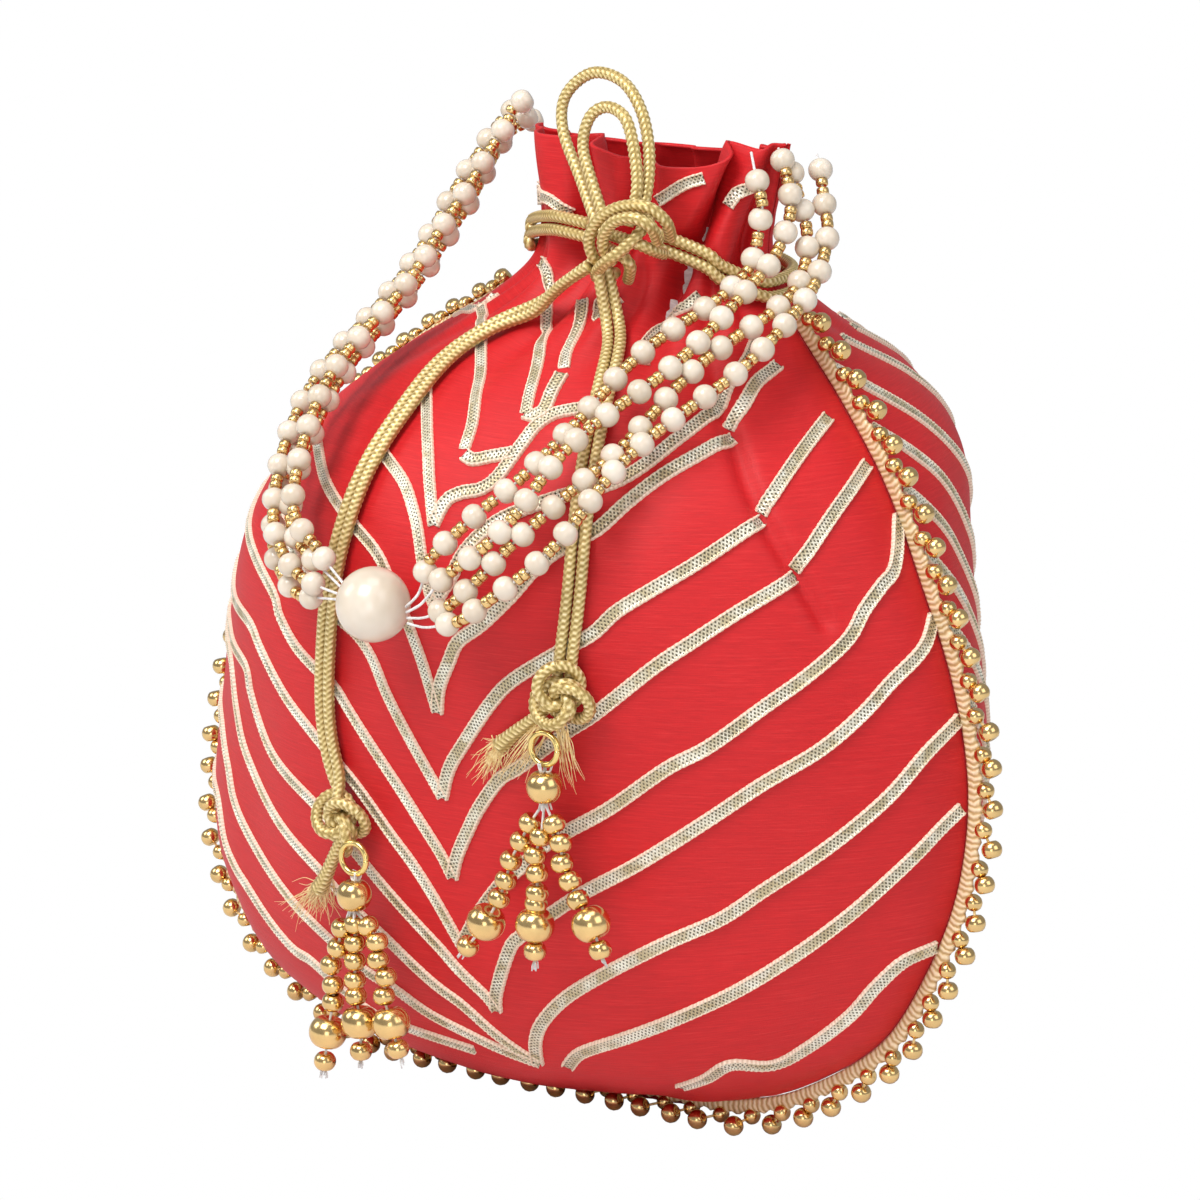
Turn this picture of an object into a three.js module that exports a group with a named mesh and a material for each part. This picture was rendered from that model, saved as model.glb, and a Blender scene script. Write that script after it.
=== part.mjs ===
// A potli bag: a gathered, drawstring bag of red silk with gota lace chevrons,
// a beaded seam, a tied braided cord with bead tassels, and a handle of pearls.
// Millimetres, +Z up. The origin is on the flat patch of cloth that the bag stands on,
// behind the bottom seam. The front of the bag faces -Y.
import * as THREE from 'three';
import { mergeVertices } from 'three/addons/utils/BufferGeometryUtils.js';

// Driving dimensions of the cloth
const bagHeight = 216;
const clothThickness = 0.8;
const liningThickness = 0.5;
const liningSlack = 3;
const layerGap = 0.3;

// Where the bag stands, measured from below the middle of the seam
const standX = -8;
const standY = 12;

// The bag's outline, one value a row from the bottom seam to the rim: heights as
// shares of the bag's height, half widths, depths and shifts in millimetres, and
// how sharply a row turns into the seam (1 is an ellipse)
const rows = {
  seam: [0.034, 0.037, 0.06, 0.12, 0.2, 0.29, 0.39, 0.49, 0.59, 0.68, 0.755, 0.815, 0.86, 0.9, 0.95, 1],
  frontMiddle: [0.034, 0.02, 0.03, 0.07, 0.15, 0.26, 0.38, 0.49, 0.59, 0.68, 0.755, 0.815, 0.86, 0.9, 0.95, 1],
  backMiddle: [0.034, -0.02, -0.02, 0.045, 0.15, 0.26, 0.38, 0.49, 0.59, 0.68, 0.755, 0.815, 0.86, 0.9, 0.95, 1],
  half: [36, 49, 66, 86, 96, 100, 99, 94.5, 86, 74, 58, 41, 30.5, 28.5, 30, 32],
  front: [0, 6, 14, 30, 41, 49, 54, 58, 60, 55, 44, 29, 19.5, 17.5, 18, 19],
  back: [0, 12, 26, 38, 43, 46, 52, 62, 76, 84, 72, 44, 24, 18, 18, 19],
  shiftX: [-4, -7, -9, -9.5, -8.5, -6, -3.5, -3, -3, -1.5, 1, 5, 8, 9, 9.5, 10],
  shiftY: [-5, -5, -5, -4, -3, -1, 0, 0, 0, 2, 5, 8, 9, 9, 9, 9],
  frontEdge: [1, 1.2, 1.3, 1.35, 1.35, 1.35, 1.3, 1.25, 1.2, 1.1, 1.05, 1, 1, 1, 1, 1],
  backEdge: [1, 1.1, 1.1, 1.1, 1.1, 1.1, 1.05, 1, 0.95, 0.9, 0.9, 1, 1, 1, 1, 1],
  pleat: [0, 0, 0, 0, 0, 0, 0, 0, 0.05, 0.2, 0.5, 0.9, 1, 1, 1, 1],
};
const lastRow = rows.seam.length - 1;

// The pleats of the neck: how many round it, how deep, and where they start
const pleatCount = 8;
const pleatDepth = 2.6;
const pleatPhase = 0.6;

// Lace chevrons: the row of each one's tip, and how many rows its arms climb. The
// back stands on its lowest rows, so its chevrons start above them.
const frontLaceTips = [1.1, 2.33, 3.25, 3.95, 4.6, 5.25, 5.95, 6.75, 7.7, 8.55, 9.3, 9.95];
const backLaceTips = [2.85, ...frontLaceTips.slice(2, -1)];
const laceRise = 3.65;
const laceWidth = 3.4;
const laceThickness = 0.4;
const laceLift = 0.9;
const laceTopRow = 10.7;
const laceSeamMargin = 0.09;

// Beaded trim in the seam
const tapeWidth = 2.2;
const tapeThickness = 1;
const tapeGap = 0.5;
const tapeTurns = 44;
const trimPitch = 7.7;
const trimOuterBead = 4.4;
const trimInnerBead = 3.6;
const trimStagger = 0.8;
const trimTopRow = 11.2;
const threadDiameter = 1;
const beadFullness = 0.52;
const floorClearance = 0.1;

// Drawstring: its place on the neck, and its route down the front
const cordDiameter = 2.8;
const cinchRow = 12.6;
const cinchSlack = 0.9;
const knotRadius = 4.6;
const knotDepth = 0.48;
const endKnotRadius = 3.8;
const knotX = 15;
const knotRise = 2.66;

// The routes of cords and strands are chosen on a bag of this height and rise with it
const routeBagHeight = 216;
const leftTailRoute = [
  [8, -20, 188.2], [-3.6, -17.6, 181.8], [-13, -22, 176.7], [-17.6, -29.2, 170.9], [-18.9, -37, 164.8],
  [-19.8, -44.6, 157.7], [-21.7, -50.2, 151.2], [-24, -56.1, 141.4], [-26.6, -59.6, 129.8], [-29.6, -59.6, 119.6],
  [-32.3, -58.1, 108.8], [-34.1, -55.8, 96.2], [-34.6, -54.8, 86], [-33.2, -55.6, 76.9],
];
const rightTailRoute = [
  [16.6, -18.6, 184.4], [20.6, -22.8, 175.6], [25.8, -34.8, 165], [30, -45.9, 152.4], [32.7, -52.8, 139],
  [33.8, -56.1, 127], [32.7, -57.9, 113.2],
];
const outerBowRoute = [
  [7.2, -18.2, 199.8], [-0.5, -15.5, 212], [-2.5, -13.5, 221.5], [1.5, -12.5, 229.5], [8, -12, 233.8],
  [15, -12.5, 231.2], [19.8, -13.5, 224], [21.2, -15.5, 213], [18.2, -18.6, 200.9],
];
const innerBowRoute = [
  [10.4, -20.2, 201.2], [5.6, -19.4, 209], [4.6, -18.3, 216.5], [8, -17.5, 223.6], [13, -17.4, 225.6],
  [17, -18, 221], [17.6, -19.3, 212], [14.4, -20.4, 201.5],
];
const tailLift = 1.2;

// Tassels: a ring on the end knot, a cap bead and three bead strands
const ringRadius = 3.4;
const ringWire = 1.6;
const capDiameter = 7.7;
const tasselBead = 4.8;
const tasselBigBead = 8.4;
const tasselEndBead = 4.6;
const tasselBeadCount = 5;
const tasselLength = 36;
const leftKnotPlace = [5.55, 104];
const leftRingShift = [6.3, -3.5, -6.5];
const leftSpread = [-10, 0, 8.5];
const rightKnotPlace = [7.04, 69];
const rightRingShift = [-3.5, -1, -11];
const rightSpread = [-17, 0, 17];

// Handle: bead strands from both sides of the rim to one large pearl
const pearlDiameter = 5.3;
const seedDiameter = 2.6;
const pearlPitch = 8.4;
const strandCount = 4;
const strandGap = 0.5;
const largePearlDiameter = 16;
const largePearlCentre = [-7.3, -70.7, 123.4];
const handleLeftRoute = [
  [-28.6, 13, 216.2], [-32, 10, 213.5], [-34, 2, 204], [-35.2, -6, 194.5], [-38, -14, 183.5], [-40.5, -23, 174.5],
  [-41, -33, 168.5], [-41.6, -42.5, 160.8], [-40.8, -51, 151.8], [-39.2, -57.8, 142.8], [-36, -62.8, 135.2],
  [-28.5, -66.8, 128.8], [-15.3, -70.1, 124.5],
];
const handleRightRoute = [
  [1.5, -70.6, 122.2], [6.6, -70, 124], [13.5, -69.2, 129.8], [20.5, -66, 136.3], [27, -60.5, 144.6], [31.5, -53.5, 152.6],
  [35.5, -45.5, 159.4], [39.5, -37, 166.2], [43, -28.6, 172.4], [46, -20, 178], [48.5, -11, 183.5], [49.5, -3, 189],
  [48.4, 3, 198], [45.2, 5.5, 206.5], [41.8, 7.6, 212.4],
];
const handleLift = 1.5;
const fanTight = 0.22;
const fanShare = 0.09;
const fanClear = 15.5;

// How finely the solids are cut
const panelColumns = 20;
const panelSteps = 20;
const laceSteps = 18;
const beadSides = 5;
const trimSides = 4;
const cordSides = 8;
const cordStep = 3.4;
const cinchSteps = 34;
const bowSteps = 11;

const colours = {
  silk: { color: 0xcc2428, roughness: 0.55, metalness: 0 },
  lining: { color: 0xe9e2dc, roughness: 0.9, metalness: 0 },
  lace: { color: 0xd8c6a4, roughness: 0.45, metalness: 0.3 },
  tape: { color: 0xd2aa6e, roughness: 0.7, metalness: 0.1 },
  gold: { color: 0xd9a75c, roughness: 0.2, metalness: 1 },
  cord: { color: 0xc9a65c, roughness: 0.5, metalness: 0.4 },
  pearl: { color: 0xf0e6d8, roughness: 0.2, metalness: 0 },
};

const bag = new THREE.Group();
bag.position.set(-standX, -standY, 0);
const handleGroup = new THREE.Group();
const leftTasselGroup = new THREE.Group();
const rightTasselGroup = new THREE.Group();
bag.add(handleGroup, leftTasselGroup, rightTasselGroup);

// Meshes

function addMesh(group, name, geometry, finish) {
  const mesh = new THREE.Mesh(geometry, new THREE.MeshStandardMaterial(colours[finish]));
  mesh.name = name;
  group.add(mesh);
}

function signedVolume(points, triangles) {
  let total = 0;
  for (const [a, b, c] of triangles) {
    total += points[a].dot(points[b].clone().cross(points[c]));
  }
  return total / 6;
}

// A closed geometry from points and triangles, with its faces turned outward
function closedGeometry(points, triangles) {
  const outward = signedVolume(points, triangles) > 0;
  const position = [];
  for (const [a, b, c] of triangles) {
    const corners = outward ? [a, b, c] : [a, c, b];
    const sides = [points[a].distanceTo(points[b]), points[b].distanceTo(points[c]), points[c].distanceTo(points[a])];
    if (Math.min(...sides) > 1e-4) {
      corners.forEach((corner) => position.push(...points[corner].toArray()));
    }
  }
  const geometry = new THREE.BufferGeometry();
  geometry.setAttribute('position', new THREE.Float32BufferAttribute(position, 3));
  return mergeVertices(geometry, 1e-4);
}

// A sheet with thickness: an outer and an inner grid, sewn together along their
// edges. A sheet that runs all the way round has no edges across.
function sheetGeometry(outer, inner, round) {
  const rowCount = outer.length;
  const columnCount = outer[0].length;
  const points = [...outer.flat(), ...inner.flat()];
  const shift = rowCount * columnCount;
  const at = (row, column) => row * columnCount + (column % columnCount);
  const triangles = [];
  const quad = (a, b, c, d) => triangles.push([a, b, c], [a, c, d]);
  const lastColumn = round ? columnCount : columnCount - 1;
  for (let row = 0; row < rowCount - 1; row += 1) {
    for (let column = 0; column < lastColumn; column += 1) {
      const corners = [at(row, column), at(row, column + 1), at(row + 1, column + 1), at(row + 1, column)];
      quad(...corners);
      quad(...corners.map((corner) => corner + shift).reverse());
    }
  }
  for (let column = 0; column < lastColumn; column += 1) {
    const [a, b] = [at(0, column), at(0, column + 1)];
    quad(b, a, a + shift, b + shift);
    const [c, d] = [at(rowCount - 1, column), at(rowCount - 1, column + 1)];
    quad(c, d, d + shift, c + shift);
  }
  if (!round) {
    for (let row = 0; row < rowCount - 1; row += 1) {
      const [a, b] = [at(row, 0), at(row + 1, 0)];
      quad(a, b, b + shift, a + shift);
      const [c, d] = [at(row, columnCount - 1), at(row + 1, columnCount - 1)];
      quad(d, c, c + shift, d + shift);
    }
  }
  return closedGeometry(points, triangles);
}

// A body lofted through rings of points, closed by a fan at both ends
function loftGeometry(rings) {
  const sides = rings[0].length;
  const triangles = [];
  const last = rings.length - 1;
  for (let ring = 0; ring < last; ring += 1) {
    for (let side = 0; side < sides; side += 1) {
      const [a, b] = [ring * sides + side, ring * sides + ((side + 1) % sides)];
      triangles.push([a, b, b + sides], [a, b + sides, a + sides]);
    }
  }
  for (let side = 1; side < sides - 1; side += 1) {
    triangles.push([0, side + 1, side]);
    triangles.push([last * sides, last * sides + side, last * sides + side + 1]);
  }
  return closedGeometry(rings.flat(), triangles);
}

// A ring of a round section. A fixed direction keeps the rings from twisting.
const ringReference = new THREE.Vector3(0.31, -0.87, 0.38).normalize();
function roundRing(centre, along, radius, sides) {
  const aside = ringReference.clone().cross(along).normalize();
  const across = along.clone().normalize().cross(aside);
  return Array.from({ length: sides }, (_, side) => {
    const turn = (2 * Math.PI * side) / sides;
    const point = centre.clone().addScaledVector(aside, radius * Math.cos(turn));
    return point.addScaledVector(across, radius * Math.sin(turn));
  });
}

// Beads on a thread: each bead is widest in its middle, with a waist between two. The
// bare thread may lead in through points of its own.
function beadChain(beads, waistRadius, sides, lead = []) {
  const rings = lead.map((point) => roundRing(point, beads[0].centre.clone().sub(point), threadDiameter / 2, sides));
  const last = beads.length - 1;
  beads.forEach(({ centre, diameter }, index) => {
    const before = beads[Math.max(index - 1, 0)].centre;
    const after = beads[Math.min(index + 1, last)].centre;
    const along = after.clone().sub(before).normalize();
    if (index === 0) {
      const start = centre.clone().addScaledVector(along, -diameter / 2);
      rings.push(roundRing(start, along, threadDiameter / 2, sides));
    }
    rings.push(roundRing(centre, along, beadFullness * diameter, sides));
    if (index < last) {
      const middle = centre.clone().lerp(after, 0.5);
      rings.push(roundRing(middle, after.clone().sub(centre), waistRadius, sides));
    } else {
      const end = centre.clone().addScaledVector(along, diameter / 2);
      rings.push(roundRing(end, along, threadDiameter / 2, sides));
    }
  });
  return loftGeometry(rings);
}

// A cord along a curve
function cordGeometry(curve, steps) {
  const section = new THREE.Shape();
  for (let side = 0; side < cordSides; side += 1) {
    const turn = (2 * Math.PI * side) / cordSides;
    const [x, y] = [(cordDiameter / 2) * Math.cos(turn), (cordDiameter / 2) * Math.sin(turn)];
    if (side === 0) {
      section.moveTo(x, y);
    } else {
      section.lineTo(x, y);
    }
  }
  const tube = new THREE.ExtrudeGeometry(section, { steps, extrudePath: curve });
  tube.deleteAttribute('normal');
  tube.deleteAttribute('uv');
  return mergeVertices(tube, 1e-4);
}

// A library shape as a closed body of merged points, moved to its centre
function placedGeometry(geometry, centre) {
  geometry.deleteAttribute('normal');
  geometry.deleteAttribute('uv');
  return mergeVertices(geometry.translate(...centre.toArray()), 1e-3);
}

// A half circle from the lower pole to the upper one, for turning a ball
function halfCircle(radius, steps) {
  return evenly(steps, Math.PI).map((turn) => {
    const across = turn === 0 || turn === Math.PI ? 0 : radius * Math.sin(turn);
    return new THREE.Vector2(across, -radius * Math.cos(turn));
  });
}

function evenly(count, end) {
  return Array.from({ length: count + 1 }, (_, index) => (end * index) / count);
}

function routePoint([x, y, z]) {
  return new THREE.Vector3(x, y, (z * bagHeight) / routeBagHeight);
}

function curveThrough(points) {
  return new THREE.CatmullRomCurve3(points, false, 'centripetal');
}

// A route moved sideways along the bag by a distance that may change on its way
const bagHeart = new THREE.Vector3(0, 5, 0.5 * bagHeight);
function besideRoute(curve, count, distanceAt, lift) {
  return Array.from({ length: count + 1 }, (_, index) => {
    const share = index / count;
    const point = curve.getPointAt(share);
    const outward = point.clone().sub(bagHeart).normalize();
    const aside = curve.getTangentAt(share).cross(outward).normalize();
    return point.addScaledVector(aside, distanceAt(share)).addScaledVector(outward, lift);
  });
}

// The surface of the bag

// A value of the rows at a place between them, on a smooth curve through all
function rowValue(name, place) {
  const index = THREE.MathUtils.clamp(Math.floor(place), 0, lastRow - 1);
  const share = place - index;
  const value = (row) => rows[name][THREE.MathUtils.clamp(row, 0, lastRow)];
  const [before, start, end, after] = [value(index - 1), value(index), value(index + 1), value(index + 2)];
  const slopeIn = (end - before) / 2;
  const slopeOut = (after - start) / 2;
  const cubic = 2 * start - 2 * end + slopeIn + slopeOut;
  const square = 3 * end - 3 * start - 2 * slopeIn - slopeOut;
  return start + share * (slopeIn + share * (square + share * cubic));
}

// side is 1 on the front and -1 on the back, and angle runs from 0 at the right
// seam to PI at the left one
function skin(place, angle, side, gap) {
  const face = side > 0 ? 'front' : 'back';
  const depth = rowValue(face, place);
  const wave = Math.cos(pleatCount * angle * side + pleatPhase);
  const pleat = pleatDepth * rowValue('pleat', place) * wave;
  const sine = Math.abs(Math.sin(angle));
  const bulge = Math.max(sine, 1e-9) ** rowValue(`${face}Edge`, place);
  const seam = rowValue('seam', place);
  const middle = rowValue(`${face}Middle`, place);
  return new THREE.Vector3(
    rowValue('shiftX', place) + (rowValue('half', place) + pleat) * Math.cos(angle),
    rowValue('shiftY', place) - side * (gap / 2 + depth * bulge + pleat * sine),
    Math.max(0, bagHeight * (seam + (middle - seam) * sine * sine)),
  );
}

// The surface moved outward by a distance, or inward by a negative one
function skinAt(place, angle, side, outward, gap = layerGap) {
  const step = 0.01;
  const [low, high] = [Math.max(place - step, 0), Math.min(place + step, lastRow)];
  const [near, far] = [Math.max(angle - step, 0), Math.min(angle + step, Math.PI)];
  const up = skin(high, angle, side, gap).sub(skin(low, angle, side, gap));
  const round = skin(place, far, side, gap).sub(skin(place, near, side, gap));
  const normal = up.cross(round).multiplyScalar(side);
  if (Math.sin(angle) < 1e-6 || place < 1e-6) {
    normal.y = 0;
  }
  return skin(place, angle, side, gap).addScaledVector(normal.normalize(), outward);
}

// Cloth

function grid(places, angles, pointAt) {
  return places.map((place) => angles.map((angle) => pointAt(place, angle)));
}

function panelGeometry(side) {
  const places = evenly(panelSteps, lastRow);
  const angles = evenly(panelColumns, Math.PI);
  const outer = grid(places, angles, (place, angle) => skinAt(place, angle, side, 0));
  const inner = grid(places, angles, (place, angle) => skinAt(place, angle, side, -clothThickness));
  return sheetGeometry(outer, inner, false);
}

// The lining is one bag inside both panels, closed along its bottom seam. It is
// slack in the body of the bag and lies close to the panels in the neck.
function liningGeometry() {
  const shoulder = 0.7 * lastRow;
  const places = evenly(panelSteps, lastRow).filter((place, index) => place > shoulder || index % 2 === 0);
  const angles = evenly(2 * panelColumns, 2 * Math.PI).slice(0, -1);
  const pointAt = (extra) => (place, angle) => {
    const side = angle <= Math.PI ? 1 : -1;
    const turned = side > 0 ? angle : 2 * Math.PI - angle;
    const slack = liningSlack * (1 - THREE.MathUtils.smoothstep(place, shoulder - 1, shoulder + 1));
    return skinAt(place, turned, side, -(clothThickness + layerGap + slack + extra), 0);
  };
  return sheetGeometry(grid(places, angles, pointAt(0)), grid(places, angles, pointAt(liningThickness)), true);
}

// A lace chevron lies on a panel, from the right seam down to its tip and up again.
// Its arms end below the gathered neck.
function laceGeometry(tip, side) {
  const reach = Math.min(1, (laceTopRow - tip) / laceRise);
  const sweep = reach * (Math.PI - 2 * laceSeamMargin);
  const pathAt = (share) => ({
    place: tip + reach * laceRise * Math.abs(2 * share - 1),
    angle: Math.PI / 2 + sweep * (share - 0.5),
  });
  const steps = 2 * Math.ceil((reach * laceSteps) / 2);
  const rings = evenly(steps, 1).map((share) => {
    const { place, angle } = pathAt(share);
    const middle = skinAt(place, angle, side, 0);
    const before = pathAt(Math.max(share - 0.02, 0));
    const after = pathAt(Math.min(share + 0.02, 1));
    const along = skinAt(after.place, after.angle, side, 0).sub(skinAt(before.place, before.angle, side, 0));
    const outward = skinAt(place, angle, side, 1).sub(middle).normalize();
    const aside = along.cross(outward).normalize();
    const corner = (across, lift) => {
      const point = middle.clone().addScaledVector(aside, (across * laceWidth) / 2);
      return point.addScaledVector(outward, lift);
    };
    return [corner(-1, laceLift), corner(1, laceLift), corner(0, laceLift + laceThickness)];
  });
  return loftGeometry(rings);
}

// Trim

// The seam from the right shoulder down, along the bottom and up to the left one
function seamCurve() {
  const down = evenly(24, trimTopRow).reverse();
  const right = down.map((place) => skin(place, 0, 1, 0));
  const bottom = evenly(6, Math.PI).slice(1, -1).map((angle) => skin(0, angle, 1, 0));
  const left = down.reverse().map((place) => skin(place, Math.PI, 1, 0));
  return curveThrough([...right, ...bottom, ...left]);
}

function besideSeam(seam, share, distance) {
  const along = seam.getTangentAt(share);
  const outward = new THREE.Vector3(-along.z, 0, along.x).normalize();
  return seam.getPointAt(share).addScaledVector(outward, distance);
}

function tapeGeometry(seam) {
  const rings = evenly(tapeTurns, 1).map((share) => {
    const near = besideSeam(seam, share, tapeGap);
    const far = besideSeam(seam, share, tapeGap + tapeWidth);
    const half = new THREE.Vector3(0, tapeThickness / 2, 0);
    return [near.clone().sub(half), near.clone().add(half), far.clone().add(half), far.clone().sub(half)];
  });
  return loftGeometry(rings);
}

function trimBeadGeometry(seam) {
  const count = 2 * Math.floor(seam.getLength() / trimPitch);
  const beads = evenly(count, 1).map((share, index) => {
    const outer = index % 2 === 0;
    const diameter = outer ? trimOuterBead : trimInnerBead;
    const distance = tapeGap + layerGap + tapeWidth + diameter / 2 + (outer ? trimStagger : 0);
    const centre = besideSeam(seam, share, distance);
    centre.z = Math.max(centre.z, diameter / 2 + floorClearance);
    return { centre, diameter };
  });
  return beadChain(beads, threadDiameter / 2, trimSides);
}

// Drawstring

const cordReach = cordDiameter / 2 + layerGap;

const rowHeight = bagHeight * (rowValue('seam', cinchRow + 0.5) - rowValue('seam', cinchRow - 0.5));

// The doubled cord is wound twice round the neck, over the tops of the pleats
function cinchGeometry() {
  const turns = 1.98;
  const points = evenly(2 * cinchSteps, 1).map((share) => {
    const angle = THREE.MathUtils.degToRad(75) + 2 * Math.PI * turns * share;
    const reach = pleatDepth + cordReach + cinchSlack;
    const climb = (cordDiameter + layerGap) * turns * (share - 0.5);
    const place = cinchRow + climb / rowHeight;
    const face = Math.sin(angle) > 0 ? 'front' : 'back';
    const [across, depth] = [rowValue('half', place) + reach, rowValue(face, place) + reach];
    return new THREE.Vector3(
      rowValue('shiftX', cinchRow) + across * Math.cos(angle),
      rowValue('shiftY', cinchRow) - depth * Math.sin(angle),
      bagHeight * rowValue('seam', cinchRow) + climb,
    );
  });
  return cordGeometry(curveThrough(points), cinchSteps);
}

function knotGeometry(radius, centre, outward) {
  const knot = new THREE.TorusKnotGeometry(radius, cordDiameter / 2, 34, 5);
  knot.applyQuaternion(new THREE.Quaternion().setFromUnitVectors(new THREE.Vector3(0, 0, 1), outward));
  return placedGeometry(knot, centre);
}

// The knot sits in front of the wound cord
function knotY() {
  const front = rowValue('shiftY', cinchRow) - rowValue('front', cinchRow) - pleatDepth;
  const wrapFront = front - cinchSlack - 2 * cordReach + layerGap;
  return wrapFront - layerGap - knotDepth * knotRadius - cordDiameter / 2;
}

// A cord's doubled tail: two cords side by side
function addTail(name, route) {
  const middle = curveThrough(route.map(routePoint));
  const spacing = cordDiameter + layerGap;
  [-0.5, 0.5].forEach((share, index) => {
    const points = besideRoute(middle, 3 * route.length, () => share * spacing, tailLift);
    const curve = curveThrough(points);
    const steps = Math.round(curve.getLength() / (cordStep * cordDiameter));
    addMesh(bag, `${name}_${index + 1}`, cordGeometry(curve, steps), 'cord');
  });
}

// Tassels

function addTassel(group, name, [place, degrees], ringShift, spread) {
  const angle = THREE.MathUtils.degToRad(degrees);
  const knotLift = laceLift + laceThickness + layerGap + knotDepth * endKnotRadius + cordDiameter / 2;
  const knot = skinAt(place, angle, 1, knotLift);
  const outward = skinAt(place, angle, 1, 1 + knotLift).sub(knot).normalize();
  addMesh(bag, `${name}_end_knot`, knotGeometry(endKnotRadius, knot, outward), 'cord');

  const ringCentre = knot.clone().add(new THREE.Vector3(...ringShift));
  const ring = new THREE.TorusGeometry(ringRadius, ringWire / 2, 5, 14).rotateX(Math.PI / 2);
  addMesh(group, `${name}_ring`, placedGeometry(ring, ringCentre), 'gold');

  const capCentre = ringCentre.clone();
  capCentre.z -= ringRadius + ringWire / 2 + layerGap + capDiameter / 2;
  const cap = new THREE.LatheGeometry(halfCircle(capDiameter / 2, 6), 12).rotateX(Math.PI / 2);
  addMesh(group, `${name}_cap_bead`, placedGeometry(cap, capCentre), 'gold');

  spread.forEach((shift, index) => {
    const geometry = strandGeometry(capCentre, shift, index - 1);
    addMesh(group, `${name}_bead_strand_${index + 1}`, geometry, 'gold');
  });
}

// One strand hangs from the cap: small beads, a big one and an end bead
function strandGeometry(cap, shift, order) {
  const top = cap.clone();
  top.x += order * (tasselBead + layerGap);
  top.z -= (capDiameter + tasselBead) / 2 + layerGap;
  const bottom = cap.clone();
  bottom.x += shift;
  bottom.z -= tasselLength;
  const along = bottom.sub(top).normalize();
  const sizes = [...Array(tasselBeadCount).fill(tasselBead), tasselBigBead, tasselEndBead];
  let distance = 0;
  const beads = sizes.map((diameter, index) => {
    distance += index === 0 ? 0 : 0.45 * (diameter + sizes[index - 1]);
    return { centre: top.clone().addScaledVector(along, distance), diameter };
  });
  return beadChain(beads, threadDiameter / 2, beadSides);
}

// Handle

function addHandleHalf(name, route, pearlAtStart) {
  const middle = curveThrough(route.map(routePoint));
  const spacing = pearlDiameter + strandGap;
  for (let strand = 0; strand < strandCount; strand += 1) {
    const order = strand - (strandCount - 1) / 2;
    const fan = (share) => {
      const fromPearl = pearlAtStart ? share : 1 - share;
      return THREE.MathUtils.lerp(fanTight, 1, Math.min(1, fromPearl / fanShare));
    };
    const points = besideRoute(middle, 40, (share) => order * spacing * fan(share), handleLift);
    const curve = curveThrough(points);
    const length = curve.getLength();
    const count = Math.floor((length - fanClear) / pearlPitch);
    const pointAt = (fromPearl) => {
      const share = Math.min(fromPearl / length, 1);
      return curve.getPointAt(pearlAtStart ? share : 1 - share);
    };
    const beads = evenly(count, count * pearlPitch).map((distance) => (
      { centre: pointAt(fanClear + distance), diameter: pearlDiameter }
    ));
    const thread = [pointAt(0), pointAt(fanClear / 2)];
    const chain = beadChain(beads, seedDiameter / 2, beadSides, thread);
    addMesh(handleGroup, `${name}_${strand + 1}`, chain, 'pearl');
  }
}

// The whole bag

addMesh(bag, 'front_panel', panelGeometry(1), 'silk');
addMesh(bag, 'back_panel', panelGeometry(-1), 'silk');
addMesh(bag, 'lining', liningGeometry(), 'lining');
frontLaceTips.forEach((tip, index) => {
  addMesh(bag, `front_lace_${index + 1}`, laceGeometry(tip, 1), 'lace');
});
backLaceTips.forEach((tip, index) => {
  addMesh(bag, `back_lace_${index + 1}`, laceGeometry(tip, -1), 'lace');
});

const seam = seamCurve();
addMesh(bag, 'seam_tape', tapeGeometry(seam), 'tape');
addMesh(bag, 'seam_beads', trimBeadGeometry(seam), 'gold');

addMesh(bag, 'drawstring_wrap', cinchGeometry(), 'cord');
const cinchHeight = bagHeight * rowValue('seam', cinchRow);
const knotCentre = new THREE.Vector3(knotX, knotY(), cinchHeight + knotRise);
addMesh(bag, 'drawstring_knot', knotGeometry(knotRadius, knotCentre, new THREE.Vector3(0, -1, 0)), 'cord');
addMesh(bag, 'bow_loop_outer', cordGeometry(curveThrough(outerBowRoute.map(routePoint)), bowSteps), 'cord');
addMesh(bag, 'bow_loop_inner', cordGeometry(curveThrough(innerBowRoute.map(routePoint)), bowSteps), 'cord');
addTail('left_tail', leftTailRoute);
addTail('right_tail', rightTailRoute);
addTassel(leftTasselGroup, 'left_tassel', leftKnotPlace, leftRingShift, leftSpread);
addTassel(rightTasselGroup, 'right_tassel', rightKnotPlace, rightRingShift, rightSpread);

addHandleHalf('handle_left_strand', handleLeftRoute, false);
addHandleHalf('handle_right_strand', handleRightRoute, true);
const pearl = new THREE.LatheGeometry(halfCircle(largePearlDiameter / 2, 7), 12).rotateX(Math.PI / 2);
addMesh(handleGroup, 'handle_large_pearl', placedGeometry(pearl, routePoint(largePearlCentre)), 'pearl');

export default bag;
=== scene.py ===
import math
import random

import bpy
import numpy as np
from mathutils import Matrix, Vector
from mathutils.bvhtree import BVHTree


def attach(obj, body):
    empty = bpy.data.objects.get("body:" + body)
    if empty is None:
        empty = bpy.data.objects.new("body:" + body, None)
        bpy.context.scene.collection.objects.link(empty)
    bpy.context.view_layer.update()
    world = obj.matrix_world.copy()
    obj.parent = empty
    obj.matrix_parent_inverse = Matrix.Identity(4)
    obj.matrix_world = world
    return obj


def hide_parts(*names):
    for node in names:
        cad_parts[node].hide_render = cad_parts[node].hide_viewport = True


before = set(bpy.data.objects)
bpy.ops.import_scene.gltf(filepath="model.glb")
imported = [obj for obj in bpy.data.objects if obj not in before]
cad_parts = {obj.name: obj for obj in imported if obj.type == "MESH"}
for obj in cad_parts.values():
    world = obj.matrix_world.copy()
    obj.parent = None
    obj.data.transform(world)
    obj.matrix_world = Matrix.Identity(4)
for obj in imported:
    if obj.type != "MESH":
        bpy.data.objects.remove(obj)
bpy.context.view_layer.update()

# Units, and the camera at the photograph's angle
MM = 0.001
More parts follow.
